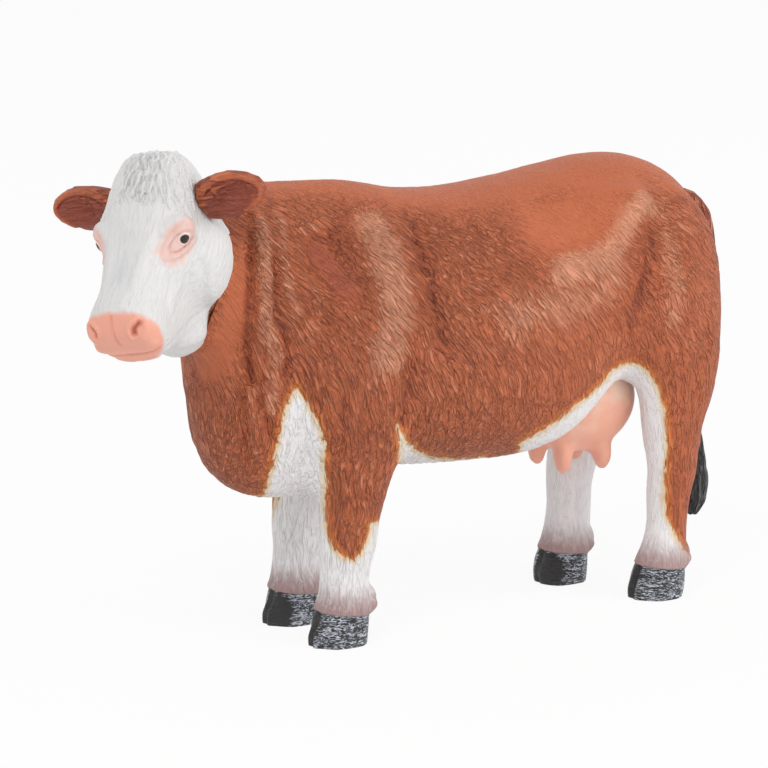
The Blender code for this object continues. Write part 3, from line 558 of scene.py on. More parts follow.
def rounded(path, steps=4):
    """The path with more places among its own, on a smooth curve through them."""
    path = np.asarray(path, dtype=float)
    if len(path) < 3:
        return path
    finer = []
    for i in range(len(path) - 1):
        before, here = path[max(i - 1, 0)], path[i]
        there, after = path[i + 1], path[min(i + 2, len(path) - 1)]
        for step in range(steps):
            t = step / steps
            slope = (there - before) / 2
            next_slope = (after - here) / 2
            square = 3 * (there - here) - 2 * slope - next_slope
            cube = slope + next_slope - 2 * (there - here)
            finer.append(here + slope * t + square * t**2 + cube * t**3)
    finer.append(path[-1])
    return np.array(finer)


def along_path(places, path):
    """How far each place is from a path, and the share of the path that is passed at its nearest point."""
    nearest = np.full(len(places), np.inf)
    passed = np.zeros(len(places))
    if len(path) == 1:
        return np.linalg.norm(places - path[0], axis=1), passed
    for i, (start, end) in enumerate(zip(path, path[1:])):
        way = end - start
        share = np.clip((places - start) @ way / (way @ way), 0, 1)
        gap = np.linalg.norm(places - start - share[:, None] * way, axis=1)
        passed = np.where(gap < nearest, (i + share) / (len(path) - 1), passed)
        nearest = np.minimum(nearest, gap)
    return nearest, passed


class Sculpture:
    """A fine mesh whose surface is pushed in and out along strokes."""

    def __init__(self, mesh):
        self.mesh = mesh
        self.places = places_of(mesh)
        self.ways = ways_of(mesh)
        # Painted light left by the strokes: a highlight above zero, shade below, and on the hooves a darker
        # claw and dewclaws
        self.tone = np.zeros(len(self.places))
        self.tree = tree_of(mesh)

    def settle(self):
        """Takes over what was pressed, so that later strokes follow the new surface."""
        move_to(self.mesh, self.places)
        self.ways = ways_of(self.mesh)

    def drop(self, start, way):
        """The place where a line from start along way meets the surface."""
        hit = self.tree.ray_cast(Vector(start), Vector(way))[0]
        if hit is None:
            raise ValueError(f"a stroke misses the surface at {tuple(start)}")
        return np.array(hit)

    def nearest(self, place):
        """The nearest place on the surface."""
        return np.array(self.tree.find_nearest(Vector(place))[0])

    def press(self, path, height, radius, sharp=False, tone=0.0, taper=0.0, way=None):
        """Raises the surface by height along a path, or sinks it where height is below zero. It moves
        straight out, or along way where that is given. Light is painted there by the light value: a painted
        highlight above zero and painted shade below, and on a hoof a darker tint. The stroke is thinner by
        the share taper at its end."""
        path = np.asarray(path, dtype=float).reshape(-1, 3)
        near = np.all((self.places > path.min(0) - radius) & (self.places < path.max(0) + radius), axis=1)
        gap, passed = along_path(self.places[near], path)
        share = np.clip(gap / (radius * (1 - taper * passed)), 0, 1)
        profile = (1 - share) ** 2 if sharp else (1 - share**2) ** 2
        ways = self.ways[near] if way is None else np.asarray(way)
        self.places[near] += ways * (height * profile)[:, None]
        self.tone[near] += tone * profile


def on_side(sculpture, share_x, share_z, side):
    start = figure_place(share_x, MIDDLE + side * LENGTH, share_z)
    return sculpture.drop(start, (0, -side, 0))


def head_axes():
    """The ways along the face, up from the brow and out to her left."""
    nod = math.radians(HEAD_NOD)
    upright = Vector((0, 0, 1))
    tip = Matrix.Rotation(math.radians(HEAD_TIP), 3, HEADING)
    along = tip @ (HEADING * math.cos(nod) - upright * math.sin(nod))
    above = tip @ (HEADING * math.sin(nod) + upright * math.cos(nod))
    aside = tip @ Vector((math.sin(TURN), -math.cos(TURN), 0))
    return np.array(along), np.array(above), np.array(aside)


ALONG, ABOVE, ASIDE = head_axes()
POLL = LOW + np.array(POLL_SHARES) * (HIGH - LOW)


def on_head(far, out, down, side=LEFT):
    """A place on the head from its shares along, out to the side and down from the brow."""
    place = POLL + ALONG * far * HEAD_LENGTH - ABOVE * down * HEAD_DEPTH
    return place - ASIDE * side * out * HEAD_WIDTH


def on_skin(sculpture, far, out, down, side=LEFT):
    """The nearest place on the head's surface."""
    return sculpture.nearest(on_head(far, out, down, side))


def hair_place(places):
    """Places sheared so that hair, which leans back more the higher it grows, runs straight down."""
    low = LOW[2] + DOWNWARD_SHARE * HEIGHT
    lean = LEAN * np.maximum(places[:, 2] - low, 0) ** 2 / MM
    return np.column_stack((places[:, 0] + lean, places[:, 1], places[:, 2]))


def stretched_noise(places, across, along, seed):
    """Noise from -1 to 1 whose lumps are across wide and along long, down the third axis."""
    scaled = places / np.array((across, across, along)) + seed
    return np.array([noise.noise(place) for place in scaled])


def border_distance(points, outline):
    """How far points of a plane are inside a closed outline, below zero outside."""
    outline = np.asarray(outline)
    nearest = np.full(len(points), np.inf)
    inside = np.zeros(len(points), dtype=bool)
    for start, end in zip(outline, np.roll(outline, -1, axis=0)):
        way = end - start
        share = np.clip((points - start) @ way / (way @ way), 0, 1)
        nearest = np.minimum(nearest, np.linalg.norm(points - start - share[:, None] * way, axis=1))
        crosses = (start[1] > points[:, 1]) != (end[1] > points[:, 1])
        slope = way[0] / way[1] if way[1] else 0.0
        inside ^= crosses & (points[:, 0] < start[0] + (points[:, 1] - start[1]) * slope)
    return np.where(inside, nearest, -nearest)


def camera_way(stage):
    """The camera's turn, and the way back from what it looks at."""
    turn, rise = math.radians(-stage.camera_turn), math.radians(stage.camera_rise)
    return turn, (math.sin(turn) * math.cos(rise), -math.cos(turn) * math.cos(rise), math.sin(rise))


def quarter_view(places):
    """Places as seen from the front left quarter, in shares of the figure's length across and up."""
    turn, back = camera_way(bpy.context.scene.cow_stage)
    across = np.array((math.cos(turn), math.sin(turn), 0))
    up = np.cross(np.array(back), across)
    return np.column_stack((places @ across, places @ up)) / LENGTH


def white_paint(places, ways):
    """How far each place of the body is inside the white paint, in metres, below zero in the brown."""
    side = np.where(places[:, 1] < MIDDLE, LEFT, RIGHT)
    folded = places.copy()
    folded[:, 1] = MIDDLE - np.abs(places[:, 1] - MIDDLE)
    seen = quarter_view(folded)
    paint = np.full(len(places), -np.inf)
    for outline in (CHEST_PATCH_SHARES, BELLY_PATCH_SHARES, FLANK_PATCH_SHARES):
        paint = np.maximum(paint, border_distance(seen, outline) * LENGTH)
    bow = np.abs(places[:, 1] - MIDDLE) * INNER_BOW
    low = LOW[2] + INNER_WHITE_SHARE * HEIGHT - places[:, 2] - bow
    inward = (-side * ways[:, 1] - INWARD) * HEIGHT / FACING_SOFTNESS
    inner = np.minimum(inward, low)
    downward = (-ways[:, 2] - DOWNWARD) * HEIGHT / FACING_SOFTNESS
    under = np.minimum(downward, UNDER_WIDTH - np.abs(places[:, 1] - MIDDLE))
    under = np.minimum(np.minimum(under, low), places[:, 0] - (LOW[0] + BRISKET_SHARE * LENGTH))
    brisket = np.minimum(FORE_SEAM + BRISKET_RISE - places[:, 2], inner)
    inner = np.where(places[:, 0] < LOW[0] + BRISKET_SHARE * LENGTH, brisket, inner)
    return np.maximum(np.maximum(paint, inner), under)


def hooves():
    """The lowest and the highest corner of the box round each sole."""
    found = []
    for node in LEG_NODES:
        places = places_of(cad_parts[node].data)
        sole = places[places[:, 2] < SOLE]
        found.append((sole.min(0), sole.max(0)))
    return found


def body_sculpture():
    sizes = bpy.context.scene.cow_sizes
    mesh = skin_of((*BODY_NODES, *LEG_NODES, "head"), "body", sizes.body_grain)
    sculpture = Sculpture(mesh)
    sink_under_head(sculpture)
    for side in (LEFT, RIGHT):
        for height, tone, radius, sharp, path in FORMS:
            places = [on_side(sculpture, x, z, side) for x, z in path]
            sculpture.press(rounded(places), height * MM, radius * MM, sharp, tone)
    sculpture.settle()
    shape_hooves(sculpture)
    sculpture.settle()
    hair = hair_place(sculpture.places)
    waves = sum(share * stretched_noise(hair, *wave) for *wave, share in FUR_WAVES)
    white = white_paint(sculpture.places, sculpture.ways)
    fur = fur_strength(sculpture)
    sculpture.places += sculpture.ways * (waves * fur * sizes.fur_relief)[:, None]
    sculpture.places[:, 2] = np.maximum(sculpture.places[:, 2], LOW[2])
    sculpture.settle()
    leave(mesh, "white", white / MM)
    leave(mesh, "tone", sculpture.tone)
    leave(mesh, "fur", fur)
    leave(mesh, "hoof", hoof_depth(sculpture.places) / MM)
    return sculpture


def sink_under_head(sculpture):
    """Sinks the body's skin where the head's own piece covers it, so that the head shows."""
    head = tree_of(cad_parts["head"].data)
    reach = UNDER_HEAD_REACH
    box_low, box_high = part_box("head")
    near = np.all((sculpture.places > np.array(box_low) - reach)
                  & (sculpture.places < np.array(box_high) + reach), axis=1)
    for i in np.flatnonzero(near):
        _, _, _, gap = head.find_nearest(Vector(sculpture.places[i]))
        share = 1 - min(gap / reach, 1)
        sculpture.places[i] -= sculpture.ways[i] * UNDER_HEAD_SUNK * share**0.5
    sculpture.settle()


def hoof_depth(places):
    """How far each place is below the coronet, where hair ends and hoof starts, below zero above it."""
    depth = np.full(len(places), -np.inf)
    for low, high in hooves():
        middle = (low + high) / 2
        beside = np.linalg.norm(places[:, :2] - middle[:2], axis=1) < NEAR_HOOF * (high[0] - low[0])
        line = CORONET + CORONET_SLOPE * (middle[0] - places[:, 0])
        depth = np.where(beside, line - places[:, 2], depth)
    return np.maximum(depth, -HEIGHT)


def shape_hooves(sculpture):
    """Flat soles, a step at the coronet, a cleft in front and behind, a dark inner claw, and a flap with two
    dewclaws behind."""
    for low, high in hooves():
        middle = (low + high) / 2
        flap = sculpture.nearest((high[0], middle[1], FLAP_HEIGHT))
        sculpture.press([flap], FLAP_PROUD, FLAP_RADIUS)
        heel = sculpture.nearest((high[0], middle[1], CORONET / 3))
        sculpture.press([heel], -HEEL_SUNK, FLAP_RADIUS, way=BACKWARD)
        toe = sculpture.nearest((low[0], middle[1], CORONET / 5))
        sculpture.press([toe], -TOE_PROUD, FLAP_RADIUS, way=BACKWARD)
        inner = LEFT if middle[1] > MIDDLE else RIGHT
        claw = sculpture.nearest((low[0], middle[1] + inner * CLAW_ASIDE, CORONET / 2))
        sculpture.press([claw], 0, CLAW_RADIUS, tone=CLAW_TONE)
        for side in (LEFT, RIGHT):
            out = side * DEWCLAW_SHARE * (high[1] - low[1])
            place = sculpture.nearest((high[0], middle[1] + out, DEWCLAW_HEIGHT))
            sculpture.press([place], DEWCLAW_PROUD, DEWCLAW_RADIUS, tone=DEWCLAW_TONE)
        sculpture.settle()
        for edge, depth in ((low[0] - TOE_PROUD, CLEFT_DEPTH), (high[0] - HEEL_SUNK, -HEEL_CLEFT_DEPTH)):
            start = np.array((edge, middle[1], 0))
            end = np.array((edge + (middle[0] - edge) / 4, middle[1], CORONET))
            # Each cleft is sunk and gets painted shade
            sculpture.press([start, end], depth, CLEFT_RADIUS, True, CLEFT_SHADE, way=BACKWARD)
    depth = hoof_depth(sculpture.places)
    step = smoothly(depth, *STEP_EDGE) * HOOF_STEP
    flat = sculpture.ways * np.array((1, 1, 0))
    sculpture.places -= flat * step[:, None]
    down = np.clip(1 - sculpture.places[:, 2] / FLAT_REACH, 0, 1) * FLAT_PULL * MM
    sculpture.places[:, 2] = np.maximum(sculpture.places[:, 2] - down, LOW[2])


def fur_strength(sculpture):
    """How deep the fur is at each place: shallow on the back, the hooves and the smooth hollows, and a little
    shallower towards the rear."""
    places = sculpture.places
    back = smoothly(sculpture.ways[:, 2], *BACK_FACING)
    smooth = np.zeros(len(places))
    for side in (LEFT, RIGHT):
        for radius, path in SMOOTH_HOLLOWS:
            spots = [on_side(sculpture, x, z, side) for x, z in path]
            gap, _ = along_path(places, rounded(spots))
            inner, outer = (share * radius * MM for share in HOLLOW_EDGE_SHARES)
            smooth = np.maximum(smooth, 1 - smoothly(gap, inner, outer))
    hoof = smoothly(hoof_depth(places), *CORONET_EDGE)
    rear = smoothly((places[:, 0] - LOW[0]) / LENGTH, *REAR_SHARES)
    furry = (1 - SMOOTHED_SHARE * back) * (1 - SMOOTHED_SHARE * smooth) * (1 - hoof)
    return furry * (FORE_FUR - REAR_FUR_LESS * rear)


def parted(mesh):
    """The body's skin parted along the seams of its mouldings, as (node, mesh) pairs."""
    form = bmesh.new()
    form.from_mesh(mesh)
    way_layer = form.verts.layers.float_vector.new("way")
    for vert in form.verts:
        vert[way_layer] = vert.normal
    between = LOW[0] + BETWEEN_LEGS_SHARE * LENGTH
    bisect(form, form.faces, HEADING * NECK_CUT, HEADING, clear=True)
    bisect(form, form.faces, (0, MIDDLE, 0), (0, 1, 0))
    fore = [face for face in form.faces if face.calc_center_median().x < between]
    bisect(form, fore, (0, 0, FORE_SEAM), (0, 0, 1))
    hind = [face for face in form.faces if face.calc_center_median().x >= between]
    bisect(form, hind, (0, 0, HIND_SEAM), (0, 0, 1))
    whole = bpy.data.meshes.new("whole")
    form.to_mesh(whole)
    form.free()
    centres = read(whole.polygons, "center", 3)
    is_left = centres[:, 1] < MIDDLE
    under_belly = LOW[0] + UNDER_BELLY_SHARE * LENGTH
    is_fore = centres[:, 0] < np.where(centres[:, 2] < FORE_SEAM, under_belly, between)
    is_leg = centres[:, 2] < np.where(is_fore, FORE_SEAM, HIND_SEAM)
    chosen = {
        "body_left_half": ~is_leg & is_left,
        "body_right_half": ~is_leg & ~is_left,
        "front_left_leg": is_leg & is_fore & is_left,
        "front_right_leg": is_leg & is_fore & ~is_left,
        "rear_left_leg": is_leg & ~is_fore & is_left,
        "rear_right_leg": is_leg & ~is_fore & ~is_left,
    }
    return [(node, closed_part(whole, mask)) for node, mask in chosen.items()]


def bisect(form, faces, place, way, clear=False):
    geometry = {element for face in faces for element in (face, *face.edges, *face.verts)}
    bmesh.ops.bisect_plane(form, geom=list(geometry), plane_co=place, plane_no=way, clear_outer=clear)


def closed_part(whole, mask):
    """The chosen faces as a mesh of their own, closed flat at the seams, with the whole skin's shading."""
    form = bmesh.new()
    form.from_mesh(whole)
    form.faces.ensure_lookup_table()
    others = [form.faces[i] for i in np.flatnonzero(~mask)]
    bmesh.ops.delete(form, geom=others, context="FACES")
    rims = [edge for edge in form.edges if edge.is_boundary]
    skin_faces = len(form.faces)
    bmesh.ops.holes_fill(form, edges=rims, sides=0)
    mesh = bpy.data.meshes.new("part")
    form.to_mesh(mesh)
    form.free()
    ways = read(mesh.attributes["way"].data, "vector", 3)
    corners = read(mesh.loops, "vertex_index", 1, np.int64)[:, 0]
    shading = ways[corners]
    for face in mesh.polygons[skin_faces:]:
        shading[face.loop_start:face.loop_start + face.loop_total] = face.normal
    mesh.shade_smooth()
    mesh.normals_split_custom_set(shading.tolist())
    mesh.attributes.remove(mesh.attributes["way"])
    return mesh


def add_piece(name, mesh, material, nodes):
    """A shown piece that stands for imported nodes."""
    obj = bpy.data.objects.new(name, mesh)
    bpy.context.scene.collection.objects.link(obj)
    mesh.materials.clear()
    mesh.materials.append(material)
    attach(obj, "root")
    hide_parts(*nodes)


class Paint:
    """A node material being put together."""

    def __init__(self, name, roughness):
        self.material = bpy.data.materials.new(name)
        self.material.use_nodes = True
        self.tree = self.material.node_tree
        self.shader = self.tree.nodes["Principled BSDF"]
        self.shader.inputs["Roughness"].default_value = roughness
        self.place = self.node("ShaderNodeTexCoord").outputs["Object"]

    def node(self, kind, settings=None, **inputs):
        made = self.tree.nodes.new(kind)
        for key, value in (settings or {}).items():
            setattr(made, key, value)
        for key, value in inputs.items():
            self.give(made.inputs[key.replace("_", " ")], value)
        return made

    def give(self, socket, value):
        if isinstance(value, bpy.types.NodeSocket):
            self.tree.links.new(value, socket)
        elif value is not None:
            socket.default_value = value

    def value(self, name):
        return self.node("ShaderNodeAttribute", {"attribute_name": name}).outputs["Fac"]

    def math(self, operation, first, second=None):
        made = self.node("ShaderNodeMath", {"operation": operation})
        for socket, value in zip(made.inputs, (first, second)):
            self.give(socket, value)
        return made.outputs[0]

    def plus(self, first, second):
        return self.math("ADD", first, second)

    def minus(self, first, second):
        return self.math("SUBTRACT", first, second)

    def times(self, first, second):
        return self.math("MULTIPLY", first, second)

    def ramp(self, value, low, high):
        """Rises smoothly from 0 to 1 while the value goes from low to high."""
        made = self.node("ShaderNodeMapRange", {"interpolation_type": "SMOOTHSTEP"})
        for socket, given in zip(made.inputs, (value, low, high)):
            self.give(socket, given)
        return made.outputs[0]

    def mix(self, share, first, second):
        made = self.node("ShaderNodeMix", {"data_type": "RGBA"})
        self.give(made.inputs[0], share)
        for socket, colour in ((made.inputs[6], first), (made.inputs[7], second)):
            self.give(socket, colour if isinstance(colour, bpy.types.NodeSocket) else (*colour, 1))
        return made.outputs[2]

    def noise(self, scale, detail, vector=None, distortion=0.0):
        made = self.node("ShaderNodeTexNoise", Scale=scale, Detail=detail, Distortion=distortion)
        self.give(made.inputs["Vector"], vector or self.place)
        return made.outputs["Fac"]

    def cloud(self, scale, detail):
        """Noise round zero."""
        return self.minus(self.noise(scale, detail), 0.5)

    def stretched(self, scale, vector=None):
        """The place scaled by a different amount along each axis."""
        made = self.node("ShaderNodeVectorMath", {"operation": "MULTIPLY"})
        self.give(made.inputs[0], vector or self.place)
        self.give(made.inputs[1], scale)
        return made.outputs[0]

    def turned(self, ways):
        """The place measured along three given ways."""
        made = self.node("ShaderNodeCombineXYZ")
        for socket, way in zip(made.inputs, ways):
            dot = self.node("ShaderNodeVectorMath", {"operation": "DOT_PRODUCT"})
            self.give(dot.inputs[0], self.place)
            self.give(dot.inputs[1], tuple(way))
            self.give(socket, dot.outputs["Value"])
        return made.outputs[0]

    def bump(self, height, depth):
        return self.node("ShaderNodeBump", Height=height, Distance=depth, Strength=1.0).outputs["Normal"]

    def finish(self, colour, normal, roughness=None):
        self.give(self.shader.inputs["Base Color"], colour)
        self.give(self.shader.inputs["Normal"], normal)
        self.give(self.shader.inputs["Roughness"], roughness)
        return self.material


def sheared_place(paint):
    """The place sheared in the same way as hair_place does, with slow waves in it."""
    parts = paint.node("ShaderNodeSeparateXYZ", Vector=paint.place)
    low = LOW[2] + DOWNWARD_SHARE * HEIGHT
    rise = paint.math("MAXIMUM", paint.minus(parts.outputs["Z"], low), 0.0)
    lean = paint.times(paint.times(rise, rise), LEAN / MM)
    wave = paint.times(paint.cloud(120.0, 1.0), HAIR_SWAY)
    across = paint.plus(paint.plus(parts.outputs["X"], lean), wave)
    made = paint.node("ShaderNodeCombineXYZ", X=across, Y=parts.outputs["Y"], Z=parts.outputs["Z"])
    return made.outputs[0]


def fur_pattern(paint, across, along):
    """Fine hair from 0 in a groove to 1 on a strand: thin grooves wander between soft strands."""
    hair = sheared_place(paint)
    strands = paint.noise(1.0, 2.5, paint.stretched((1 / across, 1 / across, 1 / along), hair))
    strands = paint.ramp(strands, 0.34, 0.66)
    wander = paint.noise(1.0, 2.0, paint.stretched((0.55 / across, 0.55 / across, 0.7 / along), hair))
    grooves = paint.math("ABSOLUTE", paint.minus(wander, 0.5))
    grooves = paint.ramp(grooves, 0.0, 0.055)
    return paint.plus(paint.times(strands, 0.6), paint.times(grooves, 0.4))


def coat_material():
    colours = bpy.context.scene.cow_colours
    sizes = bpy.context.scene.cow_sizes
    paint = Paint("painted_coat", 0.5)
    fur = fur_pattern(paint, *HAIR_STRAND)
    strength = paint.value("fur")
    tone = paint.value("tone")
    hoof = paint.value("hoof")
    white = paint.value("white")

    patches = paint.cloud(110.0, 3.0)
    mottle = paint.cloud(420.0, 2.0)
    patches = paint.plus(patches, paint.times(mottle, 0.5))
    # Painted light: the strokes' values paint highlights on raised forms and shade in hollows, and the fur
    # paints shade in its grooves and highlights on its strands, over random patches of paler and darker paint
    height = paint.times(paint.minus(fur, 0.58), strength)
    broad = paint.plus(paint.times(tone, 0.55), paint.times(patches, 0.9))
    light = paint.plus(broad, height)
    brown = paint.mix(paint.ramp(light, 0.10, 1.20), colours.coat, colours.coat_pale_and_highlight)
    brown = paint.mix(paint.ramp(light, 0.0, -1.10), brown, colours.coat_dark_and_shade)

    ragged = paint.times(height, 0.6)
    drift = paint.times(paint.cloud(500.0, 2.0), 0.9)
    border = paint.plus(white, paint.plus(ragged, drift))
    brown = paint.mix(paint.ramp(border, *FRINGE_EDGE), brown, colours.fringe)
    # The same painted light and shade, softer on the white hair
    soft = paint.plus(broad, paint.times(height, 0.45))
    snow = paint.mix(paint.ramp(soft, 0.1, -1.2), colours.white, colours.white_dark_and_shade)
    snow = paint.mix(paint.ramp(border, *CREAM_EDGE), snow, colours.cream)
    snowy = paint.ramp(border, *WHITE_EDGE)
    coat = paint.mix(snowy, brown, snow)

    streak = paint.times(height, 2.4)
    mauve = paint.ramp(paint.plus(hoof, streak), *MAUVE_EDGE)
    coat = paint.mix(mauve, coat, colours.mauve)
    horn = paint.ramp(paint.plus(hoof, paint.times(height, 0.4)), *HORN_EDGE)
    brushed = paint.noise(1.0, 5.0, paint.stretched(HOOF_STREAKS), 2.0)
    # The strokes' values darken the brushing on the inner claw, and paint shade into the clefts
    brushed = paint.plus(brushed, paint.times(tone, 0.35))
    keratin = paint.mix(paint.ramp(brushed, 0.50, 0.57), colours.hoof, colours.hoof_brushed)
    coat = paint.mix(horn, coat, keratin)

    gentle = paint.minus(1.0, paint.times(snowy, 0.72))
    relief = paint.times(height, gentle)
    relief = paint.plus(relief, paint.times(paint.times(horn, brushed), 0.8))
    relief = paint.plus(relief, paint.times(paint.noise(6000.0, 2.0), 0.08))
    roughness = paint.plus(0.54, paint.times(horn, -0.20))
    return paint.finish(coat, paint.bump(relief, sizes.fur_bump), roughness)


class COW_OT_body(bpy.types.Operator):
    """Skins, sculpts and paints the two halves of the body and the four legs"""

    bl_idname = "cow.body"
    bl_label = "Body and legs"

    def execute(self, context):
        material = coat_material()
        for node, mesh in parted(body_sculpture().mesh):
            add_piece(f"{node}_skin", mesh, material, [node])
        return {"FINISHED"}


class COW_OT_head(bpy.types.Operator):
    """Skins, sculpts and paints the head"""

    bl_idname = "cow.head"
    bl_label = "Head"

    def execute(self, context):
        sculpture = head_sculpture()
        add_piece("head_skin", sculpture.mesh, head_material(), ["head"])
        return {"FINISHED"}


def head_sculpture():
    mesh = skin_of(("head",), "head", bpy.context.scene.cow_sizes.head_grain)
    sculpture = Sculpture(mesh)
    pink = pink_paint(sculpture)
    for side in (LEFT, RIGHT):
        for height, tone, radius, sharp, path in FACE_FORMS:
            places = [on_skin(sculpture, *shares, side) for shares in path]
            sculpture.press(rounded(places), height * MM, radius * MM, sharp, tone)
    sculpture.settle()
    for side in (LEFT, RIGHT):
        shape_eye(sculpture, side)
    sculpture.settle()
    comb_forelocks(sculpture)
    sculpture.settle()
    leave(mesh, "tone", sculpture.tone)
    leave(mesh, "pupil", pupil_distance(sculpture) / MM)
    leave(mesh, "pink", pink / MM)
    return sculpture


def eye_frame(sculpture, side):
    """The middle of the eye, and the ways along the face and across it from the bridge to the cheek."""
    out, down = EYE_ACROSS
    return on_skin(sculpture, *EYE_SHARES, side), ALONG, -ASIDE * side * out - ABOVE * down


def round_eye(sculpture, side, scale):
    """The outline of the slit at some scale, on the surface and closed."""
    middle, along, across = eye_frame(sculpture, side)
    outline = (*EYE_SLIT, EYE_SLIT[0])
    places = [middle + (along * a + across * b) * scale * MM for a, b in outline]
    return rounded([sculpture.nearest(place) for place in places])


def shape_eye(sculpture, side):
    """Raises the eyeball in a slit, with a lid all round it and a fold outside the lid."""
    middle, _, _ = eye_frame(sculpture, side)
    proud, wide = EYEBALL
    sculpture.press([middle], proud * MM, wide * MM)
    for scale, height, radius, sharp, tone in EYE_STROKES:
        rim = round_eye(sculpture, side, scale)
        sculpture.press(rim, height * MM, radius * MM, sharp, tone)


def pupil_distance(sculpture):
    """How far each place is from the nearer pupil."""
    middles = [eye_frame(sculpture, side)[0] for side in (LEFT, RIGHT)]
    return np.minimum(*(np.linalg.norm(sculpture.places - middle, axis=1) for middle in middles))


def pink_paint(sculpture):
    """How far each place of the head is inside the pink paint, in metres, below zero in the white."""
    offset = sculpture.places - POLL
    far = offset @ ALONG / HEAD_LENGTH
    down = -(offset @ ABOVE) / HEAD_DEPTH
    downs, starts = zip(*MUZZLE_SHARES)
    pink = (far - np.interp(down, downs, starts)) * HEAD_LENGTH
    for side in (LEFT, RIGHT):
        middle, along, across = eye_frame(sculpture, side)
        offset = sculpture.places - middle
        seen = np.column_stack((offset @ along, offset @ across))
        patch = border_distance(seen, np.array(EYE_PINK) * MM) * EYE_PINK_FADE
        patch = np.minimum(patch, EYE_PINK_DEEPEST * MM)
        beside = np.linalg.norm(offset, axis=1) < HEAD_WIDTH / 2
        pink = np.maximum(pink, np.where(beside, patch, -HEAD_LENGTH))
    return pink


def comb_forelocks(sculpture):
    """Wavy locks that run from the poll down the forehead, each with a groove beside it."""
    count = bpy.context.scene.cow_sizes.lock_count
    chance = np.random.default_rng(LOCK_SEED)
    for row, (start, length, reach) in enumerate(LOCK_ROWS):
        for i in range(count):
            strewn = chance.uniform(-LOCK_STREWN_ACROSS, LOCK_STREWN_ACROSS)
            out = reach * (2 * (i + 0.5 * (row % 2) + strewn) / (count - 0.5) - 1)
            begin = start + chance.uniform(-LOCK_STREWN_ALONG, LOCK_STREWN_ALONG)
            phase = chance.uniform(0, math.tau)
            path = []
            for step in range(LOCK_STEPS + 1):
                share = step / LOCK_STEPS
                far = begin + length * share
                sway = LOCK_SWAY * math.sin(phase + LOCK_BENDS * share)
                spread = out * (1 + LOCK_FAN * share) + sway
                path.append(on_skin(sculpture, far, spread, BROW_TOP + BROW_FALL * spread**2))
            path = rounded(path)
            sculpture.press(path, LOCK_PROUD, LOCK_WIDTH, False, *LOCK_HIGHLIGHT_AND_TAPER)
            beside = path + ASIDE * LOCK_WIDTH
            sculpture.press(beside, -LOCK_PROUD, LOCK_WIDTH, True, *GROOVE_SHADE_AND_TAPER)


def head_material():
    colours = bpy.context.scene.cow_colours
    sizes = bpy.context.scene.cow_sizes
    paint = Paint("painted_face", 0.5)
    tone = paint.value("tone")
    pupil = paint.value("pupil")
    along = paint.turned((ASIDE, ABOVE, ALONG))
    strands = paint.noise(1.0, 3.0, paint.stretched(FACE_STRANDS, along), 0.4)
    strands = paint.ramp(strands, 0.35, 0.65)
    pink = paint.plus(paint.value("pink"), paint.times(paint.noise(700.0, 3.0), 0.8))
    pink = paint.ramp(pink, *PINK_EDGE)
    hair = paint.times(strands, paint.minus(1.0, pink))

    # Painted light: the strokes' values paint shade in the folds, the slit, the nostrils and the grooves
    # between locks, lavender on the white and darker pink on the pink, and highlights in paler pink on what
    # they raise, over random clouds
    shade = paint.plus(tone, paint.cloud(130.0, 3.0))
    shade = paint.plus(shade, paint.times(hair, 0.30))
    white = paint.mix(paint.ramp(shade, 0.25, -1.20), colours.face_white_darkened, colours.lavender)
    rosy = paint.mix(paint.ramp(shade, -0.1, -1.1), colours.pink, colours.pink_dark_and_shade)
    rosy = paint.mix(paint.ramp(shade, 0.2, 1.1), rosy, colours.pink_pale_and_highlight)
    face = paint.mix(pink, white, rosy)
    face = paint.mix(paint.ramp(pupil, *EYE_RIM_EDGE), face, colours.pink_pale_and_highlight)
    eye = paint.ramp(pupil, *PUPIL_EDGE)
    face = paint.mix(eye, face, colours.pupil)

    relief = paint.plus(hair, paint.times(paint.noise(5000.0, 2.0), 0.12))
    roughness = paint.minus(0.50, paint.times(eye, 0.16))
    return paint.finish(face, paint.bump(relief, sizes.face_bump), roughness)


class COW_OT_ears(bpy.types.Operator):
    """Skins, sculpts and paints both ears"""

    bl_idname = "cow.ears"
    bl_label = "Ears"

    def execute(self, context):
        material = ear_material()
        for side, node in ((LEFT, "left_ear"), (RIGHT, "right_ear")):
            add_piece(f"{node}_skin", ear_sculpture(node, side).mesh, material, [node])
        return {"FINISHED"}


def ear_frame(side):
    """The ear's root, its way out to the tip, its way forward and its way up."""
    out = Vector(-side * ASIDE)
    raised = Matrix.Rotation(math.radians(EAR_RAISE), 3, out.cross(Vector((0, 0, 1)))) @ out
    upward = Vector(ABOVE - ALONG)
    upward = (upward - upward.dot(raised) * raised).normalized()
    forward = raised.cross(upward) if side == LEFT else upward.cross(raised)
    return on_head(*EAR_ROOT_SHARES, side), np.array(raised), np.array(forward), np.array(upward)


def ear_sculpture(node, side):
    sculpture = Sculpture(skin_of((node,), "ear", bpy.context.scene.cow_sizes.small_grain))
    root, out, forward, upward = ear_frame(side)
    for height, tone, radius, sharp, path in EAR_FORMS:
        places = []
        for far, high in path:
            place = root + out * far * EAR_LENGTH + upward * high * EAR_WIDTH + forward * EAR_WIDTH / 5
            places.append(sculpture.nearest(place))
        sculpture.press(rounded(places), height * MM, radius * MM, sharp, tone)
    sculpture.settle()
    leave(sculpture.mesh, "tone", sculpture.tone)
    leave(sculpture.mesh, "far", (sculpture.places - root) @ out / EAR_LENGTH)
    return sculpture


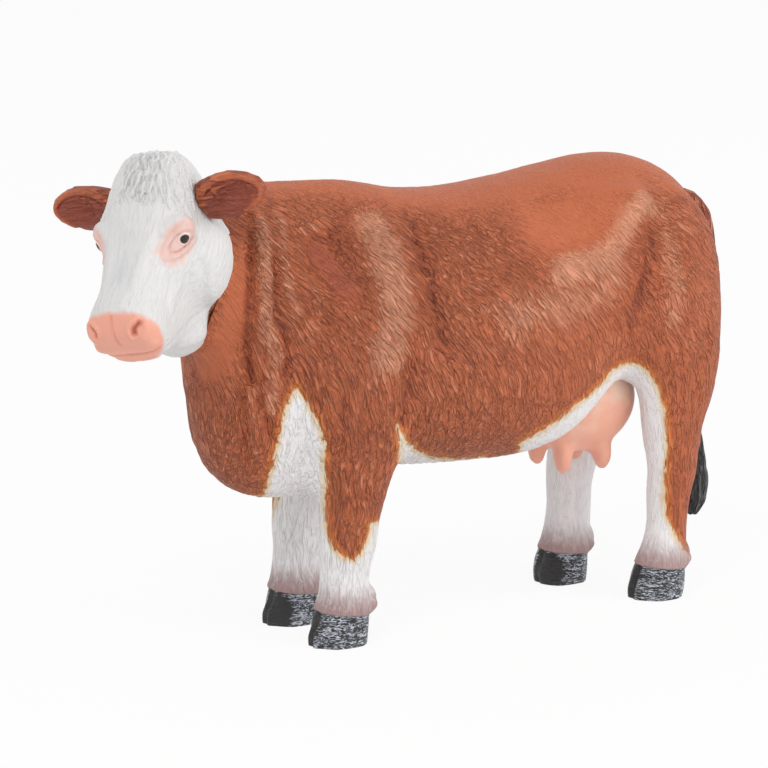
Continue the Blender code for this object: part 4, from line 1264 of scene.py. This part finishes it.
def ear_material():
    colours = bpy.context.scene.cow_colours
    sizes = bpy.context.scene.cow_sizes
    paint = Paint("painted_ear", 0.48)
    place = paint.turned((ABOVE, ALONG, ASIDE))
    strands = paint.noise(1.0, 3.0, paint.stretched(EAR_STRANDS, place), 0.5)
    strands = paint.minus(paint.ramp(strands, 0.35, 0.65), 0.5)
    rooted = paint.ramp(paint.value("far"), 0.75, 0.25)
    hair = paint.times(strands, paint.plus(0.35, paint.times(rooted, 0.65)))
    # Painted light: shade in the ear's hollow and between its hairs, highlights on its rim and hairs, over
    # random patches
    light = paint.plus(paint.value("tone"), paint.times(hair, 0.9))
    light = paint.plus(light, paint.minus(paint.noise(260.0, 2.0), 1.05))
    brown = paint.mix(paint.ramp(light, 0.1, 1.1), colours.coat, colours.coat_pale_and_highlight)
    brown = paint.mix(paint.ramp(light, 0.1, -0.9), brown, colours.coat_dark_and_shade)
    return paint.finish(brown, paint.bump(hair, sizes.fur_bump * 0.6))


class COW_OT_udder(bpy.types.Operator):
    """Skins and paints the udder"""

    bl_idname = "cow.udder"
    bl_label = "Udder"

    def execute(self, context):
        sculpture = Sculpture(skin_of(("udder",), "udder", context.scene.cow_sizes.small_grain))
        top = smoothly(sculpture.ways[:, 2], *UDDER_TOP_FACING)
        sculpture.places[:, 2] += top * UDDER_RAISED * MM
        sculpture.settle()
        add_piece("udder_skin", sculpture.mesh, udder_material(), ["udder"])
        return {"FINISHED"}


def udder_material():
    colours = bpy.context.scene.cow_colours
    sizes = bpy.context.scene.cow_sizes
    paint = Paint("painted_udder", 0.42)
    parts = paint.node("ShaderNodeSeparateXYZ", Vector=paint.place)
    height = paint.plus(parts.outputs["Z"], paint.times(paint.cloud(160.0, 3.0), UDDER_WANDER))
    low, high = (LOW[2] + share * HEIGHT for share in UDDER_PALE_SHARES)
    pink = paint.mix(paint.ramp(height, low, high), colours.udder, colours.cream_pink)
    pink = paint.mix(paint.ramp(height, low - TEAT_START, low - TEAT_FULL), pink, colours.pink)
    skin = paint.noise(1800.0, 3.0)
    return paint.finish(pink, paint.bump(skin, sizes.face_bump / 2))


class COW_OT_tail(bpy.types.Operator):
    """Skins, sculpts and paints the tail"""

    bl_idname = "cow.tail"
    bl_label = "Tail"

    def execute(self, context):
        sizes = context.scene.cow_sizes
        sculpture = Sculpture(skin_of(("tail",), "tail", sizes.small_grain))
        waves = stretched_noise(sculpture.places, *TAIL_WAVES)
        tuft = smoothly(LOW[2] + TUFT_SHARE * HEIGHT - sculpture.places[:, 2], 0, TUFT_RAGGED)
        sculpture.places += sculpture.ways * (waves * (ABOVE_TUFT + tuft) * 2 * sizes.fur_relief)[:, None]
        sculpture.settle()
        add_piece("tail_skin", sculpture.mesh, tail_material(), ["tail"])
        return {"FINISHED"}


def tail_material():
    colours = bpy.context.scene.cow_colours
    sizes = bpy.context.scene.cow_sizes
    paint = Paint("painted_tail", 0.5)
    strands = paint.noise(1.0, 3.0, paint.stretched(TAIL_STRANDS), 0.4)
    strands = paint.ramp(strands, 0.35, 0.65)
    parts = paint.node("ShaderNodeSeparateXYZ", Vector=paint.place)
    border = LOW[2] + TUFT_SHARE * HEIGHT
    ragged = paint.times(strands, TUFT_RAGGED)
    tuft = paint.ramp(paint.plus(parts.outputs["Z"], ragged), border, border - TUFT_RAGGED / 2)
    # Painted shade between the strands, in the coat's darker colour
    brown = paint.mix(strands, colours.coat_dark_and_shade, colours.coat)
    brown = paint.mix(paint.ramp(paint.noise(200.0, 2.0), 0.5, 0.8), brown, colours.coat_pale_and_highlight)
    dark = paint.mix(paint.ramp(strands, 0.5, 1.0), colours.tuft, colours.tuft_brushed)
    return paint.finish(paint.mix(tuft, brown, dark), paint.bump(strands, sizes.fur_bump))


class COW_OT_stage(bpy.types.Operator):
    """Lays the floor and places the lamps and the camera"""

    bl_idname = "cow.stage"
    bl_label = "Stage"

    def execute(self, context):
        scene = context.scene
        lay_floor(scene)
        light_stage(scene)
        place_camera(scene)
        return {"FINISHED"}


def background_rays(tree):
    """1 for the rays that show the white background: from the camera, mirrored or passed through."""
    rays = tree.nodes.new("ShaderNodeLightPath").outputs
    shown = rays["Is Camera Ray"]
    for kind in ("Is Glossy Ray", "Is Transmission Ray"):
        either = tree.nodes.new("ShaderNodeMath")
        either.operation = "MAXIMUM"
        tree.links.new(shown, either.inputs[0])
        tree.links.new(rays[kind], either.inputs[1])
        shown = either.outputs[0]
    return shown


def lay_floor(scene):
    stage = scene.cow_stage
    form = bmesh.new()
    half = FLOOR_REACH * LENGTH
    bmesh.ops.create_grid(form, x_segments=FLOOR_CELLS, y_segments=FLOOR_CELLS, size=half)
    mesh = bpy.data.meshes.new("floor")
    form.to_mesh(mesh)
    form.free()
    floor = bpy.data.objects.new("floor", mesh)
    scene.collection.objects.link(floor)
    paint = Paint("floor_paint", 0.9)
    paint.shader.inputs["Specular IOR Level"].default_value = 0.0
    paint.give(paint.shader.inputs["Base Color"], (*stage.floor, 1))
    glow = paint.node("ShaderNodeEmission", Color=(1, 1, 1, 1), Strength=1.0)
    share = paint.times(background_rays(paint.tree), stage.floor_glow)
    both = paint.node("ShaderNodeMixShader")
    paint.give(both.inputs[0], share)
    paint.tree.links.new(paint.shader.outputs[0], both.inputs[1])
    paint.tree.links.new(glow.outputs[0], both.inputs[2])
    paint.tree.links.new(both.outputs[0], paint.tree.nodes["Material Output"].inputs["Surface"])
    mesh.materials.append(paint.material)
    floor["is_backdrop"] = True


def light_stage(scene):
    stage = scene.cow_stage
    world = bpy.data.worlds.new("studio")
    scene.world = world
    world.use_nodes = True
    tree = world.node_tree
    background = tree.nodes["Background"]
    background.inputs["Color"].default_value = (1, 1, 1, 1)
    level = tree.nodes.new("ShaderNodeMapRange")
    level.inputs["To Min"].default_value = stage.sky
    level.inputs["To Max"].default_value = 1.0
    tree.links.new(background_rays(tree), level.inputs["Value"])
    tree.links.new(level.outputs["Result"], background.inputs["Strength"])
    middle = Vector((LOW + HIGH) / 2)
    for name, power in (("key", stage.key), ("fill", stage.fill)):
        offset, size = LAMPS[name]
        light = bpy.data.lights.new(name, "AREA")
        light.energy = power
        light.size = size
        lamp = bpy.data.objects.new(name, light)
        lamp.location = middle + Vector(offset)
        lamp.rotation_euler = (-Vector(offset)).to_track_quat("-Z", "Y").to_euler()
        scene.collection.objects.link(lamp)


def place_camera(scene):
    stage = scene.cow_stage
    _, back = camera_way(stage)
    back = Vector(back)
    data = bpy.data.cameras.new("camera")
    data.lens = stage.camera_lens
    data.sensor_width = FILM_WIDTH
    data.clip_start = CLIP_START
    camera = bpy.data.objects.new("camera", data)
    camera.location = Vector(stage.target) + back * stage.camera_distance
    camera.rotation_euler = (-back).to_track_quat("-Z", "Y").to_euler()
    scene.collection.objects.link(camera)
    scene.camera = camera
    scene.view_settings.view_transform = "Standard"


class COW_PT_panel(bpy.types.Panel):
    bl_label = "Toy cow"
    bl_space_type = "VIEW_3D"
    bl_region_type = "UI"
    bl_category = "Toy cow"

    def draw(self, context):
        for operator in OPERATORS:
            self.layout.operator(operator.bl_idname)
        for group in (context.scene.cow_sizes, context.scene.cow_colours, context.scene.cow_stage):
            box = self.layout.box()
            for name in group.__annotations__:
                box.prop(group, name)


OPERATORS = (COW_OT_stage, COW_OT_body, COW_OT_head, COW_OT_ears, COW_OT_udder, COW_OT_tail)
CLASSES = (CowSizes, CowColours, CowStage, *OPERATORS, COW_PT_panel)


def register():
    for kind in CLASSES:
        bpy.utils.register_class(kind)
    bpy.types.Scene.cow_sizes = PointerProperty(type=CowSizes)
    bpy.types.Scene.cow_colours = PointerProperty(type=CowColours)
    bpy.types.Scene.cow_stage = PointerProperty(type=CowStage)


def unregister():
    del bpy.types.Scene.cow_stage
    del bpy.types.Scene.cow_colours
    del bpy.types.Scene.cow_sizes
    for kind in reversed(CLASSES):
        bpy.utils.unregister_class(kind)


def main():
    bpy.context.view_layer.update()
    register()
    bpy.ops.cow.stage()
    bpy.ops.cow.body()
    bpy.ops.cow.head()
    bpy.ops.cow.ears()
    bpy.ops.cow.udder()
    bpy.ops.cow.tail()


if __name__ == "__main__":
    main()
